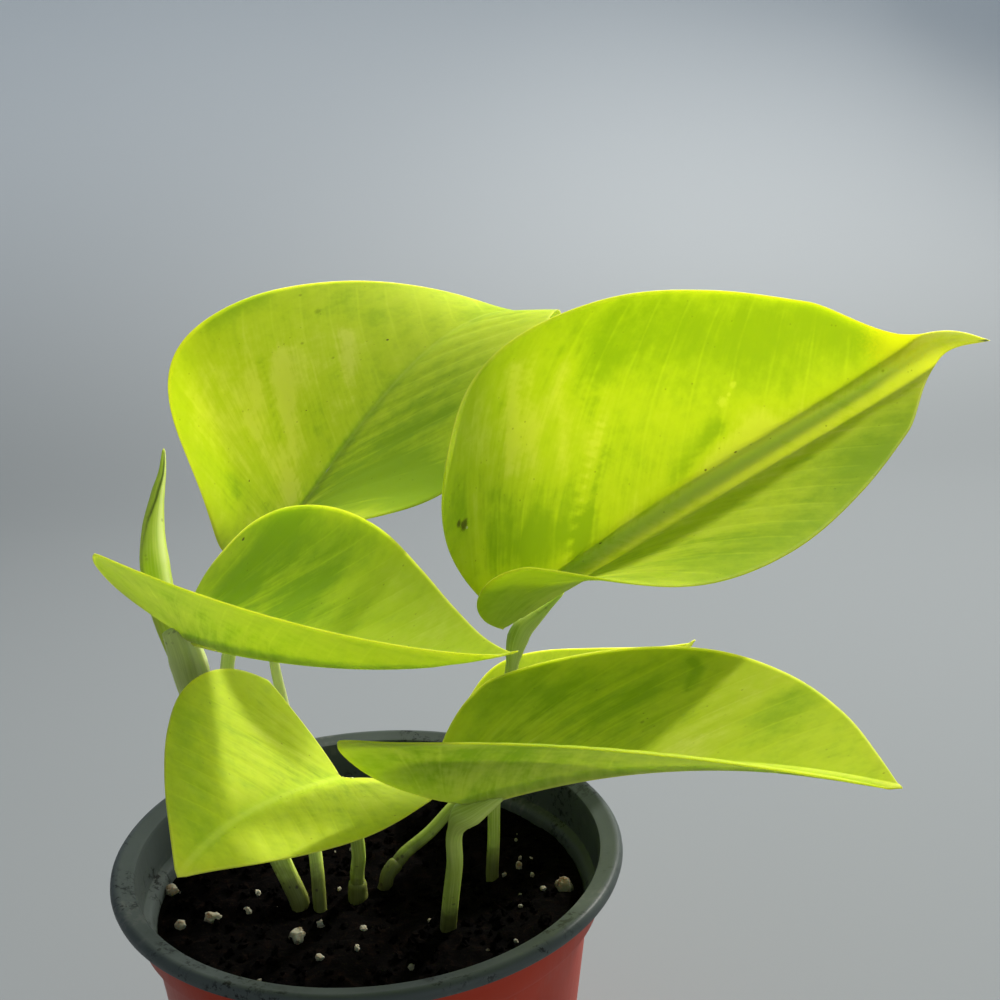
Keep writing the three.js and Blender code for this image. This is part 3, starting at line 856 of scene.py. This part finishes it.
leaves = {
    "back_left": {
        "base": (-10, 41, 143), "heading": 29, "pitch": 46, "roll": 6, "length": 90,
        "bend": -11, "curl": -89, "sway": 7, "twist": -10,
        "left": {"width": 59.5, "fold": 4, "curve": 27, "cup": -29, "lobe": 1.05},
        "right": {"width": 44, "fold": 8, "curve": -7, "cup": 29, "lobe": 1},
        "reach": [(-16.9, 5.5, 86), (-21, 8.8, 97), (-25, 12.2, 106), (-26.5, 15.5, 113.5),
                  (-26, 19.5, 119.5), (-23, 26, 126), (-17, 33.5, 131.5)],
        "radii": [1.2, 1.4, 1.5, 1.3, 1.3],
        "tints": {"pale": lambda turn, way: 0.5 * eased(way, 0.2, 0.4)},
    },
    "back_right": {
        "base": (31.5, 3, 127.5), "heading": 19, "pitch": 28, "roll": 39, "length": 110.5,
        "bend": -5, "curl": 15, "sway": -25, "twist": 25, "hook": -42, "narrow": 0.55, "soften": 6.5,
        "left": {"width": 55, "fold": 14, "curve": 71, "cup": 39, "lobe": 0.26},
        "right": {"width": 44.5, "fold": 71, "curve": -19, "cup": 30, "lobe": 0.4},
        "soil": (24.4, 1, 74),
        "reach": [(25, 1.5, 82.5), (25.5, 2, 91), (27, 2.5, 102), (29, 2.5, 114)],
        "radii": [1.4, 1.3, 1.3, 1.3, 1.4],
    },
    "front_left": {
        "base": (-31, -3, 133), "heading": -60, "pitch": 10, "roll": -5, "length": 85,
        "bend": -2, "curl": 13, "sway": 22, "twist": 0,
        "left": {"width": 32.5, "fold": 29, "curve": 31, "cup": 6, "lobe": 0.92},
        "right": {"width": 26.5, "fold": 52, "curve": -10, "cup": 0, "lobe": 0.97},
        "on": "stem_left",
        "reach": [(-26.5, 6.5, 103.5), (-31, 5.5, 117), (-31.8, 2, 125)],
        "radii": [2.1, 2.3, 2.6, 3.0, 3.4, 3.6, 2.9],
        "section": sheathed,
        "top": [(-32.2, -0.3, 130), (-33.2, -0.8, 134.5)],
        # pale: the strip down the rolled edge is the sheath's own pale colour; the paleness all round it is
        # painted light
        "tints": {"pale": lambda turn, way: (0.45 + 0.55 * band(turn, 1.1, 0.42)) * eased(way, 0.2, 0.4)},
    },
    "low_left": {
        "base": (-4.5, -15, 107.5), "heading": 229, "pitch": 16, "roll": -9, "length": 54.5,
        "bend": -6, "curl": -7, "sway": 27, "twist": -27,
        "left": {"width": 23, "fold": 19, "curve": 1, "cup": -9, "lobe": 0.99},
        "right": {"width": 27.5, "fold": 27, "curve": 4, "cup": -5, "lobe": 0.13},
        "on": "stem_middle",
        "reach": [(-2.3, -4.6, 85), (-2.4, -8.2, 92), (-2.8, -11, 99)],
        "radii": [1.5, 1.4, 1.3, 1.3],
    },
    "front_right": {
        "base": (16.3, -33.7, 110.7), "heading": -25, "pitch": 26, "roll": -6, "length": 84.5,
        "bend": -17, "curl": 5, "sway": -41, "twist": 12,
        "left": {"width": 34.5, "fold": 20, "curve": 4, "cup": 7, "lobe": 0.54},
        "right": {"width": 38.5, "fold": 41, "curve": -16, "cup": 9, "lobe": 0.49},
        "soil": (14, -15, 74), "lean": (0.02, -0.3, 1),
        "reach": [(14.5, -19.4, 83.5), (15.1, -25, 94), (15, -30, 103)],
        "radii": [1.7, 1.6, 1.5, 1.5],
    },
    "low_right": {
        "base": (29.5, 19, 93.5), "heading": 9, "pitch": 12, "roll": 7, "length": 48.5,
        "bend": 17, "curl": 4, "sway": 3, "twist": -3,
        "left": {"width": 25.5, "fold": 11, "curve": 1, "cup": -17, "lobe": 1.11},
        "right": {"width": 19, "fold": 60, "curve": 0, "cup": 10, "lobe": 1},
        "on": "stem_slanted",
        "reach": [(12.5, 7.6, 82), (18, 12.2, 85), (24, 16.6, 88)],
        "radii": [1.4, 1.3, 1.2, 1.2],
        # painted shadow: the stalk darker towards the stem, where it stands in shade
        "tints": {"shady": lambda turn, way: 0.7 * (1 - eased(way, 0.1, 0.7))},
    },
}
blade = {
    "rows": 150,
    "columns": 72,                                     # across both halves
    "thickness": 0.42,                                 # millimetres
    "marginThickness": 0.24,
    "ribDepth": 2.0,                                   # of the midrib under the blade, at its base
    "ribWidth": 1.1,
    "groove": 0.20,                                    # of the midrib on the upper face
    "quilting": 0.10,                                  # height of the swellings between side veins
    "veins": 11,                                       # side veins in each half
    "veinLean": 0.46,                                  # how far forward a side vein runs
}
# Half outline of a heart-shaped blade: along the midrib in lengths, across it in half widths
halfOutline = [
    (0, 0), (-0.075, 0.1), (-0.15, 0.3), (-0.16, 0.52), (-0.085, 0.78), (0.06, 0.96), (0.23, 1),
    (0.42, 0.9), (0.6, 0.68), (0.76, 0.42), (0.88, 0.2), (0.95, 0.08), (1, 0),
]


def outlineAt(t):                                      # points of the half outline, t from 0 to 1
    knots = np.array(halfOutline)
    knots = np.vstack([knots[0], knots, knots[-1]])
    last = len(halfOutline) - 2
    index = np.minimum((t * (last + 1)).astype(int), last)
    u = (t * (last + 1) - index)[:, None]
    p0, p1, p2, p3 = (knots[index + shift] for shift in range(4))
    bend = 2 * p0 - 5 * p1 + 4 * p2 - p3
    return (2 * p1 + (p2 - p0) * u + bend * u ** 2 + (3 * p1 - 3 * p2 + p3 - p0) * u ** 3) / 2


def bySide(leaf, key, out):                            # the left half's value where out is positive
    return np.where(out >= 0, leaf["left"][key], leaf["right"][key])


def bladeAxes(leaf, way):                              # along, to the left, and out of the upper face
    ahead = np.clip(way, 0, None)
    heading = np.radians(leaf["heading"] + leaf["sway"] * ahead)
    hook = leaf.get("hook", 0) * eased(ahead, 0.87, 0.97)
    pitch = np.radians(leaf["pitch"] + leaf["bend"] * ahead + leaf["curl"] * ahead ** 3 + hook)
    roll = np.radians(leaf["roll"] + leaf["twist"] * ahead)[:, None]
    along = np.stack([np.cos(pitch) * np.cos(heading), np.cos(pitch) * np.sin(heading), np.sin(pitch)], -1)
    level = np.stack([-np.sin(heading), np.cos(heading), 0 * heading], -1)
    above = np.cross(along, level)
    return along, level * np.cos(roll) + above * np.sin(roll), above * np.cos(roll) - level * np.sin(roll)


def midribPlaces(leaf, way):                           # before the base it runs straight on
    count = 120
    table = np.linspace(0, 1, count + 1)
    along = bladeAxes(leaf, table)[0]
    steps = (along[1:] + along[:-1]) / 2 * leaf["length"] / count
    walked = np.vstack([[0, 0, 0], np.cumsum(steps, axis=0)]) + leaf["base"]
    inside = np.clip(way, 0, 1)
    spots = np.stack([np.interp(inside, table, walked[:, axis]) for axis in range(3)], -1)
    return spots + np.minimum(way, 0)[:, None] * leaf["length"] * along[0]


def bladePlaces(leaf, way, out):                       # out from the midrib in half widths, left positive
    along, left, up = bladeAxes(leaf, way)
    nearBase = np.exp(-((np.clip(way, -0.2, 1) + 0.15) / 0.22) ** 2)
    flattening = 1 - 0.35 * np.clip(way, 0, 1)
    fold = np.radians(bySide(leaf, "fold", out) * flattening + bySide(leaf, "cup", out) * nearBase)
    curve = np.radians(bySide(leaf, "curve", out))
    curve = np.where(np.abs(curve) < 1e-6, 1e-6, curve)          # a straight half still has a radius
    radius = bySide(leaf, "width", out) / curve
    outer = fold + curve * np.abs(out)
    across = (np.sin(outer) - np.sin(fold)) * radius * np.where(out >= 0, 1, -1)
    rise = (np.cos(fold) - np.cos(outer)) * radius
    return midribPlaces(leaf, way) + across[:, None] * left + rise[:, None] * up


def roundedPlaces(leaf, way, across):                  # the same, with the valley of the midrib rounded out
    soften = leaf.get("soften", 1.6)
    shift = soften * np.exp(-(across / soften) ** 2)
    moved = (across - shift, across + shift)
    one, other = (bladePlaces(leaf, way, out / bySide(leaf, "width", out)) for out in moved)
    return (one + other) / 2


def strokeField(strokes, flat):                        # paler above 0, greener below
    field = np.zeros(len(flat))
    for path, halfWidth, strength in strokes:
        nearest = np.full(len(flat), 1e6)
        path = [np.array(point) for point in path]
        for start, end in zip(path, path[1:] or path):
            run = end - start
            share = np.clip((flat - start) @ run / max(run @ run, 1e-9), 0, 1)
            nearest = np.minimum(nearest, np.linalg.norm(flat - start - share[:, None] * run, axis=1))
        field += strength * np.exp(-(nearest / halfWidth) ** 2)
    return field


def veinCoordinate(way, reach):                        # where along the midrib the side vein here leaves it
    start = way - blade["veinLean"] * reach ** 1.15
    return np.where(start > 0, start, 0.8 * start / (reach + 0.25))


def bladeLayout(leaf, flat):                           # where each vertex of a flat grid comes on the leaf
    share, t = -flat[:, 0], (flat[:, 1] + 1) / 2       # share of the way to the margin, left positive
    edge = outlineAt(t)
    edgeWay = np.where(edge[:, 0] < 0, edge[:, 0] * bySide(leaf, "lobe", share), edge[:, 0])
    edgeOut = np.clip(edge[:, 1], 0, None) * (1 - leaf.get("narrow", 0) * eased(edgeWay, 0.76, 0.93))
    reach = np.abs(share)
    width = bySide(leaf, "width", share)
    way = t ** 1.5 * (1 - reach) + edgeWay * reach     # along the midrib, in lengths
    out = edgeOut * share                              # out from it, in half widths
    return way, out, out * width, edgeOut * (1 - reach) * width


def bladeRelief(way, vein, fromRib, toEdge):           # height of the upper face over the plain blade
    fade = np.clip(toEdge / 5, 0, 1) * np.clip(fromRib / 6, 0, 1) * np.clip((1 - way) / 0.3, 0, 1)
    swell = np.abs(np.sin(math.pi * blade["veins"] * vein)) ** 0.6
    groove = np.exp(-(fromRib / 0.9) ** 2) * (1 - 0.6 * np.clip(way, 0, 1))
    return blade["quilting"] * (swell - 0.6) * fade - blade["groove"] * groove


def bladeThickness(way, fromRib, toEdge):              # thin at the margin, thick along the midrib
    rib = (1 - np.clip(way, 0, 1)) ** 0.8 * np.exp(-(fromRib / blade["ribWidth"]) ** 2)
    rib = blade["ribDepth"] * rib * eased(toEdge, 0.3, 5)
    taper = np.clip(toEdge / 1.5, 0, 1)
    return blade["marginThickness"] + (blade["thickness"] - blade["marginThickness"]) * taper + rib


def raiseUpperFace(piece):                             # by its relief and half the blade's thickness
    raised = np.empty(len(piece.data.vertices))
    piece.data.attributes["relief"].data.foreach_get("value", raised)
    normals = np.empty(len(piece.data.vertices) * 3)
    piece.data.vertices.foreach_get("normal", normals)
    lift = (raised + blade["thickness"] / 2) * mm
    setPlaces(piece, places(piece) + normals.reshape(-1, 3) * lift[:, None])


def makeBlade(name, leaf, materials):
    deselect()
    bpy.ops.mesh.primitive_grid_add(x_subdivisions=blade["columns"], y_subdivisions=blade["rows"], size=2)
    piece = named(camel("leaf_" + name))
    way, out, across, toEdge = bladeLayout(leaf, places(piece))
    fromRib = np.abs(across)
    vein = veinCoordinate(way, np.abs(out))
    setPlaces(piece, roundedPlaces(leaf, way, across) * mm)
    flatPlace = np.stack([across, way * leaf["length"]], -1)
    setAttribute(piece, "grain", np.stack([out, vein, way], -1))
    setAttribute(piece, "flat", np.column_stack([flatPlace, 0 * way]))
    setAttribute(piece, "shade", strokeField(marks[name]["strokes"], flatPlace))
    setAttribute(piece, "rib", fromRib)
    setAttribute(piece, "edge", toEdge)
    setAttribute(piece, "relief", bladeRelief(way, vein, fromRib, toEdge))
    thickness = bladeThickness(way, fromRib, toEdge)
    thickest = float(thickness.max())
    group = piece.vertex_groups.new(name="thickness")
    for index, value in enumerate(thickness):
        group.add([index], float(value) / thickest, "REPLACE")
    mergeDoubles(piece)
    raiseUpperFace(piece)
    skin = piece.modifiers.new("thickness", "SOLIDIFY")
    skin.thickness = thickest * mm
    skin.offset = -1
    skin.vertex_group = "thickness"
    skin.material_offset = 1                           # the lower face gets the under side's finish
    skin.material_offset_rim = 0
    finished(piece, materials, ["leaf_" + name])
    applyAll(piece)
    smooth(piece)


# What the skin of each leaf shows, in millimetres on the leaf laid flat: across the midrib, left
# positive, then along it. A stroke is a path, its half width, and how much paler it is, or greener
# below 0. A spot is a place, its radius and its kind.
marks = {
    "back_left": {
        "strokes": [
            ([(34.5, 30.9), (21.1, 16.9), (6.8, 2.1)], 2.8, 0.9),
            ([(38.1, 26.4), (28.6, 19.3), (20.2, 12.1)], 1.1, -0.7),
            ([(31.8, 12.9), (20.8, 7.1), (7.1, 1.1)], 2.2, 0.7),
            ([(13.4, 6.9), (7.1, 4.8), (2.1, 1.9)], 0.5, 0.8),
            ([(24.0, 42.0), (18.4, 37.2), (9.8, 26.7)], 2.4, 0.8),
            ([(18.1, 32.5), (10.7, 27.7)], 1.6, -0.7),
            ([(22.6, 49.6), (20.0, 46.0)], 4.0, -0.45),
            ([(24.1, 19.5)], 1.6, 0.9),
            ([(56.5, 28.8), (52.0, 40.0)], 4.0, -0.5),
            # painted shade: the right half darker, as it faces away from the light
            ([(-41.6, 13.5), (-14.0, 6.0)], 9.0, -0.9),
            ([(-20.0, 16.0), (-19.0, 34.0)], 10.0, -0.5),
            # painted light: the left half paler, where the light comes through it
            ([(42.0, 12.0), (26.0, 26.0)], 13.0, 0.5),
            ([(0.0, 70.0)], 10.0, -0.5),
        ],
        "spots": [(13.1, 44.9, 0.42, "speck"), (44.0, 44.9, 0.5, "faint"), (36.3, 43.6, 1.0, "faint"),
                  (32.1, 34.6, 0.5, "faint"), (21.7, 34.8, 0.45, "faint"), (17.6, 20.6, 0.22, "speck"),
                  (26.5, 1.1, 0.3, "speck"), (24.1, 20.6, 1.1, "pale")],
    },
    "back_right": {
        "strokes": [
            ([(50.9, 15.9), (25.8, 7.8), (17.6, 3.9)], 2.3, -0.15),
            ([(47.5, 24.0), (26.9, 15.6)], 1.5, 1.0),
            ([(46.5, 27.9), (22.3, 18.8)], 1.6, 0.6),
            ([(40.0, 33.0), (33.6, 30.5), (20.1, 25.0)], 2.0, 0.65),
            ([(34.4, 36.3), (21.7, 29.8)], 1.4, 0.5),
            ([(30.0, 39.0), (25.0, 35.7), (12.1, 26.3)], 1.5, 0.5),
            ([(33.6, 48.6)], 9.0, 0.35),
            ([(14.0, 9.7), (4.4, 23.3)], 5.5, -0.9),
            # painted highlight and painted shade: a crease running out with the side veins, lit along one
            # edge and shaded beside it
            ([(4.1, 14.9), (11.8, 23.0), (19.3, 30.5), (25.0, 36.2)], 0.55, 0.8),
            ([(4.1, 17.2), (11.3, 25.6), (19.0, 33.7)], 1.2, -0.7),
            # painted light: an oval pool of light on the blade
            ([(1.6, 51.5), (5.6, 62.0)], 4.6, 1.0),
            ([(10.8, 56.0), (5.8, 41.5), (3.0, 34.0)], 1.7, -0.9),
            # painted shade: a faint crease along the midrib
            ([(2.8, 43.8), (-4.7, 53.5), (-9.8, 62.2), (-11.1, 66.4)], 0.8, -0.35),
            ([(-17.6, 74.9)], 7.0, -0.3),
            # painted shade: the lower, right half darker
            ([(-37.0, 30.0), (-31.0, 62.0), (-18.0, 84.0)], 11.0, -0.5),
            ([(38.0, 46.0), (26.0, 66.0), (12.0, 88.0)], 11.0, -0.75),
            # painted light along the midrib, over the dark band its valley takes in the light
            ([(0.0, 22.0), (-1.0, 60.0), (-2.0, 98.0)], 7.0, 1.1),
            ([(40.4, 13.0)], 9.0, 0.5),
            ([(35.5, 4.5), (27.0, 1.0)], 3.0, -0.4),
        ],
        "spots": [(26.9, 0.7, 1.5, "scar"), (28.6, -0.3, 0.9, "scar"), (25.6, 1.1, 0.4, "dry"),
                  (1.9, 22.7, 0.45, "speck"), (4.1, 56.0, 0.42, "speck"), (4.4, 49.0, 0.36, "speck"),
                  (3.8, 50.6, 0.22, "speck"), (16.5, 62.5, 0.9, "pale"), (14.6, 59.0, 1.3, "pale"),
                  (15.2, 60.8, 0.5, "pale"), (6.1, 101.4, 1.6, "rust"), (5.8, 96.2, 8.5, "yellow"),
                  (1.1, 89.4, 0.4, "faint")],
    },
    "front_left": {
        "strokes": [
            ([(27.1, 5.2), (14.0, 2.0)], 9.0, -0.9),
            ([(22.4, 24.4), (13.3, 23.4)], 9.0, -0.6),
            ([(6.8, 61.1)], 12.0, 0.35),
        ],
        "spots": [(22.5, -6.0, 0.5, "speck")],
    },
    "low_left": {
        "strokes": [
            ([(-19.7, 28.1), (-9.8, 36.5), (-1.0, 43.0)], 5.0, -0.4),
        ],
        "spots": [],
    },
    "front_right": {
        "strokes": [
            ([(21.7, 50.6), (2.0, 42.0)], 5.0, 0.5),
            ([(25.2, 2.7), (21.2, 29.0)], 8.0, -0.5),
            ([(16.6, 52.8)], 8.0, -0.6),
            ([(-27.0, 50.0), (-18.0, 6.0)], 10.0, -0.5),
            ([(28.5, 33.5), (25.5, 35.9), (20.0, 36.0)], 0.8, -0.6),
        ],
        "spots": [(12.0, 31.0, 0.5, "faint")],
    },
    "low_right": {
        "strokes": [],
        "spots": [(0.8, 47.5, 0.6, "scar")],
    },
}
leafTones = {
    "neon": (0.47, 0.62, 0.026),
    "green": (0.25, 0.39, 0.012),
    "pale": (0.62, 0.73, 0.10),
    "margin": (0.66, 0.74, 0.10),
    "under": (0.44, 0.56, 0.060),
    "speck": (0.05, 0.045, 0.010),
    "faint": (0.16, 0.22, 0.010),
    "scar": (0.075, 0.060, 0.022),
    "dry": (0.60, 0.60, 0.45),
    "rust": (0.20, 0.12, 0.010),
    "yellow": (0.66, 0.62, 0.010),
}
spotStrength = {
    "speck": 0.9, "faint": 0.5, "scar": 0.85, "dry": 0.9, "rust": 0.8, "yellow": 0.45, "pale": 0.7,
}


def spotted(finish, colour, flat, spots):              # each spot with a ragged edge
    torn = (finish.noise(flat, 1.6, 3, 0.7) - 0.5) * 1.1
    for across, along, radius, kind in spots:
        away = finish.node("ShaderNodeVectorMath", {"operation": "DISTANCE"}, [flat, (across, along, 0)], 1)
        ragged = away / radius + torn
        colour = finish.blend(ragged.step(1.1, 0.35) * spotStrength[kind], colour, leafTones[kind])
    return colour


def leafFinish(name, spots, isUnder):
    finish = Finish(name)
    grain = finish.attribute("grain")
    flat = finish.attribute("flat")
    edge = finish.attribute("edge", 2)
    rib = finish.attribute("rib", 2)
    shade = finish.attribute("shade", 2)
    place = finish.objectPlace()
    wander = finish.noise(flat, 0.05, 1)
    broad = finish.noise(finish.scaled(grain, (2.2, 15, 0)), 1, 3, 0.6)
    brushed = finish.noise(finish.scaled(grain, (5, 75, 0)), 1, 3, 0.65)
    nearBase = grain.part("Z").step(0.62, 0.10) * edge.step(2, 14)
    mottle = finish.noise(flat, 0.30, 3, 0.62)
    patch = finish.noise(flat, 0.07, 1)
    vein = (grain.part("Y") * (math.pi * blade["veins"]) + wander * 0.8).sine().size()
    line = vein.step(0.22, 0.0) * rib.step(0.5, 5) * edge.step(0.5, 5)
    tone = 0.46 + (mottle - 0.5) * 0.55 + (patch - 0.5) * 0.5 + (brushed - 0.5) * (0.12 + 0.4 * nearBase)
    # the strokes: the leaves' own streaks, and painted light and painted shade
    tone = tone + (broad - 0.5) * (0.30 + 1.1 * nearBase) + shade * (0.15 + 0.5 * brushed + 0.3 * mottle)
    tone = (tone + line * 0.10).held()
    middle = leafTones["under" if isUnder else "neon"]
    colour = finish.blend(tone.step(0.02, 0.56), leafTones["green"], middle)
    colour = finish.blend(tone.step(0.48, 1.05), colour, leafTones["pale"])
    colour = finish.blend(rib.step(0.8, 0.2) * 0.25, colour, leafTones["pale"])
    colour = finish.blend(edge.step(0.5, 0.0) * (0.05 + 0.4 * patch), colour, leafTones["margin"])
    speck = finish.cells(place, 420).step(0.12, 0.04) * finish.noise(flat, 0.10, 2).step(0.44, 0.60)
    colour = finish.blend(speck * (0.25 if isUnder else 0.6), colour, leafTones["faint"])
    if spots:
        colour = spotted(finish, colour, flat, spots)
    height = vein * 0.35 + finish.noise(flat, 0.30, 2) * 0.7
    bump = finish.bump(height, 0.14 * mm, 0.5)
    rough = (0.62 if isUnder else 0.54) + 0.16 * mottle
    return finish.surface(
        Base_Color=colour, Roughness=rough, Normal=bump, Specular_IOR_Level=0.15,
        Subsurface_Weight=0.9, Subsurface_Radius=(1.0, 1.05, 0.12), Subsurface_Scale=2.4 * mm)


# Where a stalk bends over under its blade. neck is how far before the base it starts, back along the
# stalk and down; path is steps along the midrib and millimetres down; shares are steps before the
# stalk's end and shares of its radius.
join = {
    "step": 0.65,                                      # millimetres
    "neck": (2.2, 1.0),
    "path": [(1.5, 1.9), (6, 1.4), (12, 0.7), (18, 0)],
    "shares": [(0, 0.15), (6, 0.55), (12, 1.1), (16.5, 1.55), (20.5, 1.6), (27, 1.05)],
}


def stalkStart(leaf):                                  # in the soil, or in the top of the stem that bears it
    if "soil" in leaf:
        return soilStart(leaf)
    if "on" not in leaf:
        return []                                      # its reach starts beside the stem
    stem = stems[leaf["on"]]
    below, top = (Vector(point) for point in [*soilStart(stem), *stem["reach"]][-2:])
    rise = (top - below).normalized()
    return [top - rise * 3, top - rise * 0.5, top + rise * 1.5]


def stalkTop(leaf):                                    # into the midrib, or the sheath's own top
    if "top" in leaf:
        return leaf["top"]
    along, left, up = (Vector(axis[0]) for axis in bladeAxes(leaf, np.zeros(1)))
    base = Vector(leaf["base"])
    rise = (base - Vector(leaf["reach"][-1])).normalized()
    back, down = join["neck"]
    under = [base + along * steps * join["step"] - up * depth for steps, depth in join["path"]]
    return [base - rise * back - up * down, *under]


def joinRadii(radius):                                 # metres from the stalk's end, and its radius there
    return [(steps * join["step"] * mm, share * radius) for steps, share in join["shares"]]


def makeStalk(name, leaf):
    points = inMetres([*stalkStart(leaf), *leaf["reach"], *stalkTop(leaf)])
    radii = [radius * mm for radius in leaf["radii"]]
    piece = tube(camel("petiole_" + name), points, radii, steps=70,
                 section=leaf.get("section", channelled(0.12)),
                 ending=() if "top" in leaf else joinRadii(radii[-1]),
                 tints=leaf.get("tints", ()))
    finished(piece, [stalkSkin], ["petiole_" + name])


for name, leaf in leaves.items():
    spots = marks[name]["spots"]
    skins = [leafFinish(camel("upper_" + name), spots, False), leafFinish(camel("under_" + name), [], True)]
    makeBlade(name, leaf, skins)
    makeStalk(name, leaf)
print("leaves and stalks")

# The newest leaf, still rolled into a spindle

rolled = {
    "reach": [(-30.5, 5.2, 110), (-32.2, 5.6, 117), (-34.2, 6.2, 124), (-35.6, 7.2, 130), (-37, 9.2, 136.5),
              (-37.9, 12, 143), (-37.8, 15, 149), (-36.6, 18, 155), (-35.5, 20, 159), (-35, 22, 163)],
    "radii": [0.9, 1.3, 1.8, 2.3, 3.0, 3.45, 3.5, 2.8, 1.9, 1.0, 0.3],
    "lap": 0.30,                                       # how far the free edge stands out, in radii
}


def lapPlace(way):                                     # where round the spindle the free edge lies
    return -0.5 + 1.3 * eased(way, 0.62, 0.98)


def lapped(turn, way):                                 # a spiral that ends in the free edge
    return 1 - rolled["lap"] * (((turn - lapPlace(way)) / (2 * math.pi)) % 1)


def makeRolledLeaf():
    tints = {
        # a painted highlight down the front of the spindle
        "pale": lambda turn, way: 0.9 * band(turn, 0.95, 0.33),
        # painted shade in the recess under the free edge
        "shady": lambda turn, way: band(turn, lapPlace(way) - 0.08, 0.2) * eased(way, 0.4, 0.55),
    }
    radii = [radius * mm for radius in rolled["radii"]]
    points = inMetres(rolled["reach"])
    piece = tube("leafRolled", points, radii, steps=110, section=lapped, sides=72, tints=tints)
    skin = stalkFinish("spindleSkin", leafTones["pale"], leafTones["neon"])
    finished(piece, [skin], ["leaf_rolled"])


makeRolledLeaf()
print("rolled leaf")
